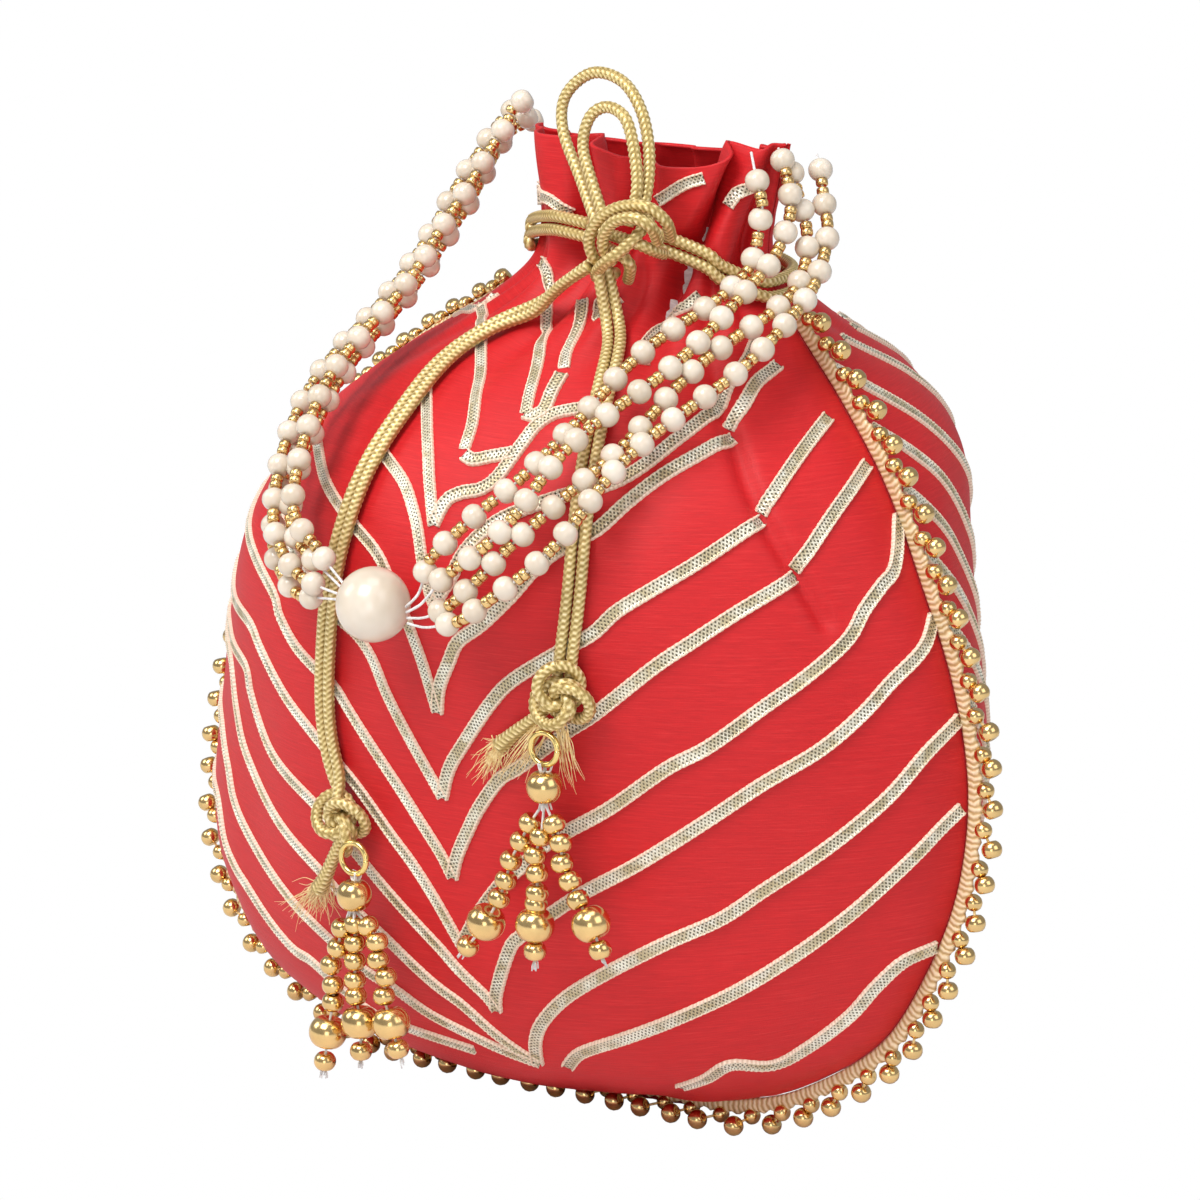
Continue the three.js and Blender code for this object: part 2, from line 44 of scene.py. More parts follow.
UP = Vector((0, 0, 1))
IMAGE = 1200
CAMERA_AZIMUTH = math.radians(36)
CAMERA_ELEVATION = math.radians(12)
CAMERA_DISTANCE = 1.1
CAMERA_TARGET = Vector((0.008, -0.012, 0.1131))
LENS = 150
SENSOR = 36

# The bag's outline, one value a row from the bottom seam to the rim. The heights of the
# seam and of both middles are shares of the bag's height, the edges say how sharply a row
# turns into the seam, the pleats are shares of their depth, and the rest is in millimetres
BAG_HEIGHT = 216
BAG_SHIFT = (8, -12)
SHIFT = Vector((*BAG_SHIFT, 0))
LAYER_GAP = 0.3
UPPER_ROWS = (0.38, 0.49, 0.59, 0.68, 0.755, 0.815, 0.86, 0.9, 0.95, 1)
ROWS = {
    "seam": [0.034, 0.037, 0.06, 0.12, 0.2, 0.29, 0.39, *UPPER_ROWS[1:]],
    "frontMiddle": [0.034, 0.02, 0.03, 0.07, 0.15, 0.26, *UPPER_ROWS],
    "backMiddle": [0.034, -0.02, -0.02, 0.045, 0.15, 0.26, *UPPER_ROWS],
    "half": [36, 49, 66, 86, 96, 100, 99, 94.5, 86, 74, 58, 41, 30.5, 28.5, 30, 32],
    "front": [0, 6, 14, 30, 41, 49, 54, 58, 60, 55, 44, 29, 19.5, 17.5, 18, 19],
    "back": [0, 12, 26, 38, 43, 46, 52, 62, 76, 84, 72, 44, 24, 18, 18, 19],
    "shiftX": [-4, -7, -9, -9.5, -8.5, -6, -3.5, -3, -3, -1.5, 1, 5, 8, 9, 9.5, 10],
    "shiftY": [-5, -5, -5, -4, -3, -1, 0, 0, 0, 2, 5, 8, 9, 9, 9, 9],
    "frontEdge": [1, 1.2, 1.3, 1.35, 1.35, 1.35, 1.3, 1.25, 1.2, 1.1, 1.05, 1, 1, 1, 1, 1],
    "backEdge": [1, 1.1, 1.1, 1.1, 1.1, 1.1, 1.05, 1, 0.95, 0.9, 0.9, 1, 1, 1, 1, 1],
    "pleat": [0, 0, 0, 0, 0, 0, 0, 0, 0.05, 0.2, 0.5, 0.9, 1, 1, 1, 1],
}
LAST_ROW = len(ROWS["seam"]) - 1
PLEAT_COUNT = 8
PLEAT_DEPTH = 2.6
PLEAT_PHASE = 0.6

# How finely the cloth is cut
CLOTH_ROWS = 200
CLOTH_COLUMNS = 190
CLOTH_THICKNESS = 0.8

rng = random.Random(11)


# Camera

def camera_axes():
    azimuth, elevation = CAMERA_AZIMUTH, CAMERA_ELEVATION
    back = Vector((
        math.sin(azimuth) * math.cos(elevation),
        -math.cos(azimuth) * math.cos(elevation),
        math.sin(elevation),
    ))
    right = Vector((math.cos(azimuth), math.sin(azimuth), 0))
    return back, right, back.cross(right)


def make_camera():
    back, right, up = camera_axes()
    data = bpy.data.cameras.new("camera")
    data.lens = LENS
    data.sensor_width = SENSOR
    camera = bpy.data.objects.new("camera", data)
    bpy.context.scene.collection.objects.link(camera)
    camera.location = CAMERA_TARGET + CAMERA_DISTANCE * back
    camera.rotation_euler = back.to_track_quat("Z", "Y").to_euler()
    bpy.context.scene.camera = camera


make_camera()


def pixel_ray(x, y):
    """The eye and the direction through a pixel of the photograph."""
    back, right, up = camera_axes()
    scale = SENSOR / LENS / IMAGE
    aside, down = (x - IMAGE / 2) * scale, (y - IMAGE / 2) * scale
    eye = CAMERA_TARGET + CAMERA_DISTANCE * back
    return eye, (aside * right - down * up - back).normalized()


def on_depth(x, y, depth):
    """The point behind a pixel on the upright plane at that depth."""
    eye, ray = pixel_ray(x, y)
    return eye + ray * ((depth - eye.y) / ray.y)


# Small helpers

def smooth_line(points, step):
    """Points a step apart along a smooth curve through the given ones."""
    points = [Vector(p) for p in points]
    line = []
    for index in range(len(points) - 1):
        a, b = points[max(index - 1, 0)], points[index]
        c, d = points[index + 1], points[min(index + 2, len(points) - 1)]
        pieces = max(2, int((c - b).length / step) + 1)
        for piece in range(pieces):
            t = piece / pieces
            line.append(0.5 * (
                2 * b + (c - a) * t + (2 * a - 5 * b + 4 * c - d) * t * t
                + (3 * b - a - 3 * c + d) * t * t * t
            ))
    line.append(points[-1])
    return even_line(line, step)


def even_line(line, step):
    """The same line with evenly spaced points."""
    lengths = [0.0]
    for a, b in zip(line, line[1:]):
        lengths.append(lengths[-1] + (b - a).length)
    count = max(1, round(lengths[-1] / step))
    even, at = [], 0
    for index in range(count + 1):
        goal = lengths[-1] * index / count
        while at < len(lengths) - 2 and lengths[at + 1] < goal:
            at += 1
        span = max(lengths[at + 1] - lengths[at], 1e-12)
        even.append(line[at].lerp(line[at + 1], (goal - lengths[at]) / span))
    return even


def tangents(line):
    last = len(line) - 1
    return [(line[min(i + 1, last)] - line[max(i - 1, 0)]).normalized() for i in range(last + 1)]


def make_object(name, vertices, faces, uvs=None, relief=None, smooth=True):
    """A mesh object at the origin, with its UVs and relief given for each vertex."""
    mesh = bpy.data.meshes.new(name)
    mesh.from_pydata([tuple(v) for v in vertices], [], faces)
    mesh.update()
    if uvs is not None:
        layer = mesh.uv_layers.new(name="UVMap")
        corners = np.empty(len(mesh.loops), dtype=np.int32)
        mesh.loops.foreach_get("vertex_index", corners)
        layer.data.foreach_set("uv", np.asarray(uvs, dtype=np.float32)[corners].ravel())
    if relief is not None:
        attribute = mesh.attributes.new("relief", "FLOAT", "POINT")
        attribute.data.foreach_set("value", np.asarray(relief, dtype=np.float32))
    if smooth:
        mesh.polygons.foreach_set("use_smooth", [True] * len(mesh.polygons))
    piece = bpy.data.objects.new(name, mesh)
    bpy.context.scene.collection.objects.link(piece)
    return piece


def finish_piece(piece, material, body, slot, *nodes):
    piece.data.materials.append(material)
    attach(piece, body)
    if nodes:
        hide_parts(*nodes)
    return piece


# A barrel bead from end to end: shares of its length, and of its radius there
BARREL_PROFILE = [(-0.42, 0.45), (-0.5, 0.7), (-0.42, 0.92), (-0.2, 1),
                  (0.2, 1), (0.42, 0.92), (0.5, 0.7), (0.42, 0.45)]


def ring_faces(rings, sides):
    """Faces between rings of points, with both ends closed."""
    faces = []
    for ring in range(rings - 1):
        for side in range(sides):
            a, b = ring * sides + side, ring * sides + (side + 1) % sides
            faces.append((a, b, b + sides, a + sides))
    faces.append(tuple(reversed(range(sides))))
    faces.append(tuple(range((rings - 1) * sides, rings * sides)))
    return faces


# Braid: columns of V stitches round the cord
BRAID_RELIEF = 0.16
BRAID_PITCH = 1.3 * MM
BRAID_COLUMNS = 4


def braid(angle, distance):
    column = (angle * BRAID_COLUMNS / (2 * math.pi)) % 1
    slope = abs(2 * column - 1)
    stitch = 0.5 + 0.5 * math.cos(2 * math.pi * (distance / BRAID_PITCH + 0.9 * slope))
    groove = min(1, 4 * min(slope, 1 - slope) + 0.25)
    return stitch * groove


class Shape:
    """Vertices, faces, UVs and relief of one piece, gathered part by part."""

    def __init__(self):
        self.vertices, self.faces, self.uvs, self.relief = [], [], [], []

    def add(self, vertices, faces, uvs, relief=None):
        start = len(self.vertices)
        self.vertices.extend(vertices)
        self.faces.extend([tuple(start + corner for corner in face) for face in faces])
        self.uvs.extend(uvs)
        self.relief.extend(relief or [0.5] * len(vertices))

    def piece(self, name):
        return make_object(name, self.vertices, self.faces, self.uvs, self.relief)

    def tube(self, line, radius, sides, height=None, taper=None):
        """A round tube along a line. height(angle, distance) is its relief, from 0 to 1."""
        along = tangents(line)
        aside = along[0].orthogonal().normalized()
        vertices, uvs, relief, distance = [], [], [], 0.0
        for ring, (centre, tangent) in enumerate(zip(line, along)):
            if ring:
                distance += (centre - line[ring - 1]).length
            aside = (aside - tangent * aside.dot(tangent)).normalized()
            across = tangent.cross(aside)
            scale = taper(ring / (len(line) - 1)) if taper else 1
            for side in range(sides):
                angle = 2 * math.pi * side / sides
                bump = height(angle, distance) if height else 0.5
                reach = radius * scale * (1 + (BRAID_RELIEF * (bump - 0.5) if height else 0))
                vertices.append(centre + reach * (math.cos(angle) * aside + math.sin(angle) * across))
                uvs.append((distance / MM / 10, side / sides))
                relief.append(bump)
        self.add(vertices, ring_faces(len(line), sides), uvs, relief)

    def lathe(self, centre, axis, profile, sides):
        """A turned bead. The profile gives places along its axis and its radius there."""
        aside = axis.orthogonal().normalized()
        across = axis.cross(aside)
        vertices, uvs = [], []
        for ring, (place, reach) in enumerate(profile):
            for side in range(sides):
                angle = 2 * math.pi * side / sides
                flat = math.cos(angle) * aside + math.sin(angle) * across
                vertices.append(centre + place * axis + reach * flat)
                uvs.append((side / sides, ring / len(profile)))
        self.add(vertices, ring_faces(len(profile), sides), uvs)

    def ball(self, centre, radius, rings=10, sides=16, axis=UP, stretch=1.0, hole=0.0):
        """A ball, its poles on its axis, drawn in a little where the thread goes in."""
        profile = []
        for ring in range(rings + 1):
            turn = math.pi * (0.02 + 0.96 * ring / rings)
            dip = 1 - hole * abs(math.cos(turn)) ** 12
            profile.append((-radius * dip * stretch * math.cos(turn), radius * math.sin(turn)))
        self.lathe(centre, axis, profile, sides)

    def barrel(self, centre, radius, length, axis, sides=12):
        """A short bead cut from a tube, with rounded edges."""
        self.lathe(centre, axis, [(length * share, radius * reach) for share, reach in BARREL_PROFILE], sides)


# Colours as linear values
SILK = (0.6, 0.012, 0.015)
SILK_DEEP = (0.53, 0.009, 0.012)
SILK_SHADE = (0.47, 0.009, 0.013)
# The brightest silk colour lightens the slub streaks of the weave: partly the yarn's own tone, partly a
# painted sheen highlight
SILK_SLUB_HIGHLIGHT = (0.72, 0.045, 0.045)
# The lace's pale silver is a painted reflection, spread in large random patches over its own darker gold
LACE_PAINTED_REFLECTION = (0.9, 0.87, 0.74)
LACE_GOLD = (0.55, 0.46, 0.28)
LACE_GAP = (0.13, 0.11, 0.07)
LACE_EDGE = (0.92, 0.76, 0.6)
LACE_EDGE_SHADE = (0.74, 0.55, 0.4)
# The tape's colours follow its stitch relief: the darkest is painted shade in the grooves, the brightest a
# painted highlight on the crests
TAPE_GROOVE_SHADE = (0.5, 0.3, 0.12)
TAPE_TONE = (0.74, 0.52, 0.28)
TAPE_CREST_HIGHLIGHT = (0.9, 0.72, 0.48)
# The cord's colours follow its braid relief and the glint noise: the darkest is painted shade in the grooves,
# the brighter ones painted highlights and glints
CORD_GROOVE_SHADE = (0.24, 0.14, 0.035)
CORD = (0.52, 0.38, 0.13)
CORD_CREST_HIGHLIGHT = (0.8, 0.64, 0.31)
CORD_GLINT = (0.95, 0.84, 0.55)
GOLD = (0.84, 0.58, 0.25)
SEED_GOLD = (0.82, 0.56, 0.24)
RING_GOLD = (0.9, 0.68, 0.25)
PEARL = (0.74, 0.65, 0.54)
PEARL_SHADE = (0.6, 0.5, 0.38)

# Pitches of the woven lace and of the tape, in millimetres, and the slant of the lace's net
LACE_NET_PITCH = 0.95
LACE_NET_SLANT = 14.0
LACE_TWIST_PITCH = 0.9
TAPE_STITCH = 1.3


# Materials

class Net:
    """A material's node tree, with short calls for the nodes used here."""

    def __init__(self, name):
        self.material = bpy.data.materials.new(name)
        self.material.use_nodes = True
        self.tree = self.material.node_tree
        self.shader = self.tree.nodes["Principled BSDF"]

    def node(self, kind, inputs=None, **settings):
        node = self.tree.nodes.new("ShaderNode" + kind)
        for key, value in settings.items():
            setattr(node, key, value)
        for key, value in (inputs or {}).items():
            self.put(node.inputs[key], value)
        return node

    def put(self, socket, value):
        if isinstance(value, bpy.types.NodeSocket):
            self.tree.links.new(value, socket)
        else:
            socket.default_value = value

    def math(self, operation, a, b=0.0):
        """A Math node of two values. MULTIPLY_ADD also adds the node's own third value, a half."""
        return self.node("Math", {0: a, 1: b}, operation=operation).outputs[0]

    def uv(self, scale_u, scale_v):
        source = self.node("UVMap").outputs[0]
        return self.node("Mapping", {"Vector": source, "Scale": (scale_u, scale_v, 1)}).outputs[0]

    def place(self, scale):
        source = self.node("TexCoord").outputs["Object"]
        return self.node("Mapping", {"Vector": source, "Scale": (scale,) * 3}).outputs[0]

    def noise(self, vector, detail, roughness):
        inputs = {"Vector": vector, "Scale": 1.0, "Detail": detail, "Roughness": roughness}
        return self.node("TexNoise", inputs).outputs["Fac"]

    def weigh(self, *parts):
        """The sum of values, each times its weight."""
        total = self.math("MULTIPLY", *parts[0])
        for part in parts[1:]:
            total = self.math("ADD", total, self.math("MULTIPLY", *part))
        return total

    def relief(self):
        return self.node("Attribute", attribute_name="relief").outputs["Fac"]

    def ramp(self, value, *stops):
        node = self.node("ValToRGB", {"Fac": value})
        elements = node.color_ramp.elements
        while len(elements) < len(stops):
            elements.new(0.5)
        for element, (position, colour) in zip(elements, stops):
            element.position = position
            element.color = (*colour, 1)
        return node.outputs["Color"]

    def mix(self, share, a, b, blend="MIX"):
        node = self.node("Mix", data_type="RGBA", blend_type=blend)
        self.put(node.inputs["Factor"], share)
        for key, value in ((6, a), (7, b)):
            value = (*value, 1) if isinstance(value, tuple) and len(value) == 3 else value
            self.put(node.inputs[key], value)
        return node.outputs[2]

    def bump(self, height, strength, distance):
        inputs = {"Height": height, "Strength": strength, "Distance": distance}
        self.put(self.shader.inputs["Normal"], self.node("Bump", inputs).outputs[0])

    def set(self, **inputs):
        for key, value in inputs.items():
            name = key.replace("_", " ")
            if isinstance(value, tuple) and len(value) == 3:
                value = (*value, 1) if "Color" in name or "Tint" in name else value
            self.put(self.shader.inputs[name], value)


def silk_material():
    net = Net("red_art_silk")
    slub = net.noise(net.uv(0.8, 22), 3, 0.7)
    fine = net.noise(net.uv(2.5, 75), 2, 0.6)
    cross = net.noise(net.uv(60, 4), 2, 0.5)
    tone = net.noise(net.place(14), 2, 0.5)
    base = net.ramp(tone, (0.3, SILK_DEEP), (0.7, SILK))
    # Slub streaks of the weave, random in place; the lightest of them is also a painted sheen highlight
    streaks = net.ramp(slub, (0.35, SILK_SHADE), (0.55, SILK), (0.76, SILK_SLUB_HIGHLIGHT))
    colour = net.mix(0.45, base, streaks)
    grain = net.ramp(fine, (0.3, (0.84, 0.84, 0.84)), (0.75, (1.1, 1.1, 1.1)))
    colour = net.mix(0.8, colour, grain, "MULTIPLY")
    net.bump(net.weigh((fine, 0.6), (slub, 0.5), (cross, 0.25)), 0.35, 0.25 * MM)
    net.set(Base_Color=colour, Roughness=0.52)
    net.shader.inputs["Specular IOR Level"].default_value = 0.3
    return net.material


def lining_material():
    net = Net("pale_lining")
    weave = net.noise(net.uv(30, 30), 2, 0.5)
    colour = net.ramp(weave, (0.3, (0.62, 0.55, 0.52)), (0.7, (0.82, 0.77, 0.74)))
    net.bump(weave, 0.3, 0.2 * MM)
    net.set(Base_Color=colour, Roughness=0.85)
    return net.material


def lace_material():
    net = Net("gota_lace")
    parts = net.node("SeparateXYZ", {0: net.node("UVMap").outputs[0]})
    along, across = parts.outputs[0], parts.outputs[1]
    lift = net.math("MULTIPLY", along, 2 * math.pi * 10 / LACE_NET_PITCH)
    slant = net.math("MULTIPLY", across, LACE_NET_SLANT)
    first = net.math("SINE", net.math("ADD", lift, slant))
    second = net.math("SINE", net.math("SUBTRACT", lift, slant))
    mesh = net.math("MAXIMUM", first, second)
    worn = net.noise(net.place(90), 2, 0.6)
    # Large random patches where the metal turns pale silver: a painted reflection of light on the metallic
    # threads
    tone = net.ramp(net.noise(net.place(150), 3, 0.7), (0.4, (0, 0, 0)), (0.62, (1, 1, 1)))
    metal_and_reflection = net.mix(tone, LACE_GOLD, LACE_PAINTED_REFLECTION)
    threads = net.math("ADD", mesh, net.math("MULTIPLY", net.math("SUBTRACT", worn, 0.5), 1.6))
    share = net.node("MapRange", {"Value": threads, "From Min": -0.35, "From Max": 0.45}).outputs[0]
    middle = net.mix(share, LACE_GAP, metal_and_reflection)
    twist = net.math("SINE", net.math("MULTIPLY", along, 2 * math.pi * 10 / LACE_TWIST_PITCH))
    edge = net.mix(net.math("MULTIPLY_ADD", twist, 0.5), LACE_EDGE_SHADE, LACE_EDGE)
    rim = net.math("GREATER_THAN", net.math("ABSOLUTE", net.math("SUBTRACT", across, 0.5)), 0.35)
    colour = net.mix(rim, middle, edge)
    net.bump(net.weigh((share, 0.6), (twist, 0.2)), 0.6, 0.25 * MM)
    shine = net.math("MULTIPLY", net.math("SUBTRACT", 1.0, rim), 0.55)
    net.set(Base_Color=colour, Metallic=shine, Roughness=0.42)
    return net.material


def tape_material():
    net = Net("braid_tape")
    parts = net.node("SeparateXYZ", {0: net.node("UVMap").outputs[0]})
    along, across = parts.outputs[0], parts.outputs[1]
    angle = net.math("MULTIPLY", along, 2 * math.pi * 10 / TAPE_STITCH)
    slope = net.math("MULTIPLY", net.math("ABSOLUTE", net.math("SUBTRACT", across, 0.5)), 5.0)
    unevenness = net.math("MULTIPLY", net.noise(net.place(260), 2, 0.6), 7.0)
    slope = net.math("ADD", slope, unevenness)
    stitch = net.math("MULTIPLY_ADD", net.math("SINE", net.math("ADD", angle, slope)), 0.5)
    noise = net.noise(net.place(600), 2, 0.6)
    height = net.weigh((stitch, 0.7), (noise, 0.3))
    # Colour by stitch height: painted shade low in the grooves, painted highlight on the crests
    colour = net.ramp(height, (0.15, TAPE_GROOVE_SHADE), (0.45, TAPE_TONE), (0.85, TAPE_CREST_HIGHLIGHT))
    net.bump(height, 0.7, 0.3 * MM)
    net.set(Base_Color=colour, Roughness=0.55, Metallic=0.15)
    return net.material


def cord_material():
    net = Net("gold_braided_cord")
    glint = net.noise(net.place(1100), 2, 0.7)
    height = net.weigh((net.relief(), 0.75), (glint, 0.35))
    # Colour by braid relief and glint noise: painted shade in the grooves, painted highlights and glints on
    # the crests
    colour = net.ramp(height, (0.12, CORD_GROOVE_SHADE), (0.42, CORD), (0.75, CORD_CREST_HIGHLIGHT), (0.95, CORD_GLINT))
    net.bump(glint, 0.4, 0.2 * MM)
    net.set(Base_Color=colour, Roughness=0.42, Metallic=0.35)
    return net.material


def gold_material(name, colour, roughness):
    net = Net(name)
    haze = net.noise(net.place(180), 3, 0.6)
    tone = net.ramp(haze, (0.3, tuple(0.8 * c for c in colour)), (0.65, colour))
    net.bump(net.noise(net.place(260), 2, 0.5), 0.12, 0.3 * MM)
    rough = net.node("MapRange", {"Value": haze, "To Min": roughness, "To Max": roughness + 0.12})
    net.set(Base_Color=tone, Metallic=1.0, Roughness=rough.outputs[0])
    return net.material


def pearl_material():
    net = Net("pearl")
    cloud = net.noise(net.place(120), 2, 0.5)
    colour = net.ramp(cloud, (0.3, PEARL_SHADE), (0.7, PEARL))
    net.bump(net.noise(net.place(900), 2, 0.5), 0.05, 0.1 * MM)
    net.set(Base_Color=colour, Roughness=0.27, Coat_Weight=0.5, Coat_Roughness=0.08)
    net.shader.inputs["Subsurface Weight"].default_value = 0.15
    net.shader.inputs["Subsurface Scale"].default_value = 0.002
    net.shader.inputs["Subsurface Radius"].default_value = (1, 0.7, 0.5)
    return net.material


def thread_material(name, low, high):
    net = Net(name)
    tone = net.noise(net.place(700), 2, 0.6)
    net.bump(tone, 0.3, 0.1 * MM)
    net.set(Base_Color=net.ramp(tone, (0.3, low), (0.7, high)), Roughness=0.65, Sheen_Weight=0.2)
    return net.material


SILK_CLOTH = silk_material()
LINING_CLOTH = lining_material()
LACE = lace_material()
TAPE = tape_material()
CORD_BRAID = cord_material()
BEAD = gold_material("gold_bead", GOLD, 0.14)
SEED = gold_material("gold_seed_bead", SEED_GOLD, 0.2)
RING = gold_material("gold_ring", RING_GOLD, 0.16)
PEARL_BEAD = pearl_material()
WHITE_THREAD = thread_material("white_thread", (0.55, 0.52, 0.5), (0.9, 0.88, 0.86))
GOLD_THREAD = thread_material("gold_thread", (0.72, 0.45, 0.14), (0.95, 0.78, 0.42))


# The cloth's surface

def row_value(name, place):
    values = ROWS[name]
    index = int(min(max(math.floor(place), 0), LAST_ROW - 1))
    share = place - index
    a, b, c, d = (values[min(max(index + k, 0), LAST_ROW)] for k in (-1, 0, 1, 2))
    slope_in, slope_out = (c - a) / 2, (d - b) / 2
    cubic = 2 * b - 2 * c + slope_in + slope_out
    square = 3 * c - 3 * b - 2 * slope_in - slope_out
    return b + share * (slope_in + share * (square + share * cubic))


# Folds of the neck: where each one's valley lies in degrees, how deep it is in
# millimetres, how wide in degrees and how far it leans a row, on the front and the back
FOLDS = {
    1: [(110, 8, 5.5, 0), (79, 5.5, 5, 3), (39, 8.5, 5.5, 10), (9, 4, 6, 4), (153, 1.5, 6, 2)],
    -1: [(18, 4, 6, 2), (47, 6, 6, -2), (78, 5, 6, 2), (108, 6, 6, -2), (137, 6, 6, 2), (160, 3, 6, 0)],
}
# Gathers below the neck: angle in degrees, depth, width in degrees, and the row where they fade
GATHERS = {
    1: [(100, 4.5, 4, 9.4), (72, 4, 3.5, 9.4), (57, 5.5, 3.5, 8.9), (118, 2.6, 4, 9.6), (136, 3, 5, 9),
        (40, 3.6, 4, 9.4), (86, 3, 3, 9.8), (24, 3, 4, 9.8), (150, 2.2, 4, 9.6)],
    -1: [(30, 2.6, 5, 9.2), (55, 2.6, 4, 9), (80, 3, 4, 8.8), (105, 2.6, 4, 9), (130, 2.8, 5, 9.2),
         (152, 2, 5, 9.6)],
}
CINCH_ROW = 12.4
FOLD_ROW = 13.9
NECK_START_ROW = 12.3
NECK_SHARPNESS = 2.5


def fold_depth(place, angle, side):
    """How far the cloth falls inward in the folds round the neck and below it."""
    degrees = math.degrees(angle)
    total = 0.0
    neck = 1 / (1 + math.exp(-(place - NECK_START_ROW) * NECK_SHARPNESS))
    for centre, depth, width, lean in FOLDS[side]:
        bend = centre + lean * (FOLD_ROW - place) + 1.5 * math.sin(1.9 * place + centre)
        total += neck * depth * math.exp(-((degrees - bend) / width) ** 2)
    for centre, depth, width, fade in GATHERS[side]:
        if place > fade - 1:
            reach = min(1, max(0, (place - fade) / (CINCH_ROW - fade)))
            spread = width * (1 + 0.6 * (1 - reach))
            lean = centre + 1.5 * math.sin(2.3 * place + centre)
            shape = math.exp(-((degrees - lean) / spread) ** 2)
            total += (1 - neck) * depth * reach ** 1.3 * shape
    return total


def skin(place, angle, side, gap=LAYER_GAP):
    """A point of the plain surface, in millimetres."""
    face = "front" if side > 0 else "back"
    wave = math.cos(PLEAT_COUNT * angle * side + PLEAT_PHASE)
    pleat = 0.25 * PLEAT_DEPTH * row_value("pleat", place) * wave
    sine = abs(math.sin(angle))
    bulge = max(sine, 1e-9) ** row_value(face + "Edge", place)
    seam, middle = row_value("seam", place), row_value(face + "Middle", place)
    depth = row_value(face, place) * bulge + pleat * sine
    return Vector((
        BAG_SHIFT[0] + row_value("shiftX", place) + (row_value("half", place) + pleat) * math.cos(angle),
        BAG_SHIFT[1] + row_value("shiftY", place) - side * (gap / 2 + depth),
        max(0, BAG_HEIGHT * (seam + (middle - seam) * sine * sine)),
    ))


def grid_normals(points, side):
    up = np.gradient(points, axis=0)
    around = np.gradient(points, axis=1)
    normals = np.cross(up, around) * side
    lengths = np.linalg.norm(normals, axis=2, keepdims=True)
    return normals / np.maximum(lengths, 1e-9)


def grid_faces(rows, columns, flip=False):
    faces = []
    for row in range(rows - 1):
        for column in range(columns - 1):
            a = row * columns + column
            face = (a, a + 1, a + columns + 1, a + columns)
            faces.append(face[::-1] if flip else face)
    return faces


def arc_uvs(points):
    """UVs in centimetres: round the bag, and up it."""
    around = np.linalg.norm(np.diff(points, axis=1), axis=2)
    across = np.concatenate([np.zeros((len(points), 1)), np.cumsum(around, axis=1)], axis=1)
    across -= across[:, -1:] / 2
    up = np.linalg.norm(np.diff(points, axis=0), axis=2)
    middle = up[:, up.shape[1] // 2]
    height = np.concatenate([[0], np.cumsum(middle)])
    return np.stack([across, np.repeat(height[:, None], points.shape[1], axis=1)], axis=2) / 10


# Soft unevenness of the cloth: waves (direction along rows, round the bag, depth in mm, phase)
WAVES = [(0.9, 3.1, 0.35, 0.2), (1.7, -5.3, 0.3, 1.9), (-1.1, 8.2, 0.22, 4.0), (2.3, 12.1, 0.14, 2.5),
         (0.4, 17.3, 0.12, 0.9)]
PUCKER_PITCH = 0.034
PUCKER_DEPTH = 0.5


def cloth_offset(place, angle, side, crease):
    """How far the cloth lies outward from the plain surface, in millimetres."""
    edge = min(1, 4 * math.sin(angle))
    soft = sum(depth * math.sin(a * place + b * angle * side + phase) for a, b, depth, phase in WAVES)
    puckers = PUCKER_DEPTH * math.exp(-((math.sin(angle) / 0.1) ** 2))
    puckers *= math.sin(2 * math.pi * place / (PUCKER_PITCH * LAST_ROW))
    bottom = math.exp(-place / 0.5) * PUCKER_DEPTH * math.sin(angle * 34)
    flat = min(1, max(0, (place - 0.4) / 1.2))
    return edge * soft * flat + (puckers + bottom) * edge - fold_depth(place, angle, side) * edge - crease


# The rim dips at the middle of the front, and the back closes in on it, in millimetres
RIM_DIP = 5
RIM_CLOSING = 11
RIM_CLOSING_DROP = 0.3
RIM_START_ROW = 12.8
RIM_ROWS = 2.2
RIM_DIP_ANGLE = 62
RIM_DIP_WIDTH = 34

# A shallow crease down the right of the front, in pixels of the photograph
CREASE_PIXELS = [(716, 372), (727, 420), (746, 478), (764, 520), (797, 574), (826, 622)]
CREASE_DEPTH = 2.2
CREASE_WIDTH = 2.2
CREASE_REACH = 6

# Columns crowd towards the seams, and no cloth goes below the floor
COLUMN_CROWDING = 0.055
FLOOR_GAP = 0.05


def segment_distance(point, a, b):
    span = b - a
    share = min(1, max(0, (point - a).dot(span) / span.length_squared))
    return (point - a - share * span).length


def cloth_grid(side, crease_line=()):
    places = np.linspace(0, LAST_ROW, CLOTH_ROWS)
    turn = np.linspace(0, 1, CLOTH_COLUMNS)
    angles = math.pi * (turn - COLUMN_CROWDING * np.sin(2 * math.pi * turn))
    plain = np.array([[skin(place, angle, side) for angle in angles] for place in places])
    normals = grid_normals(plain, side)
    offsets = np.zeros(plain.shape[:2])
    low = min((p.z for p in crease_line), default=0) / MM - CREASE_REACH
    for row, place in enumerate(places):
        for column, angle in enumerate(angles):
            crease, point = 0.0, Vector(plain[row, column])
            if crease_line and point.z > low and point.x > 0:
                near = min(segment_distance(point * MM, a, b) for a, b in zip(crease_line, crease_line[1:]))
                crease = CREASE_DEPTH * math.exp(-((near / MM / CREASE_WIDTH) ** 2))
            offsets[row, column] = cloth_offset(place, angle, side, crease)
    points = plain + normals * offsets[:, :, None]
    rise = np.clip((places - RIM_START_ROW) / RIM_ROWS, 0, 1)[:, None]
    if side > 0:
        dip = np.exp(-((np.degrees(angles) - RIM_DIP_ANGLE) / RIM_DIP_WIDTH) ** 2)[None, :]
        points[:, :, 2] -= RIM_DIP * rise * dip
    else:
        closing = rise * np.sin(angles)[None, :] ** 0.7
        points[:, :, 1] -= RIM_CLOSING * closing
        points[:, :, 2] -= RIM_CLOSING_DROP * RIM_CLOSING * closing
    points[:, :, 2] = np.maximum(points[:, :, 2], FLOOR_GAP)
    return places, angles, points * MM


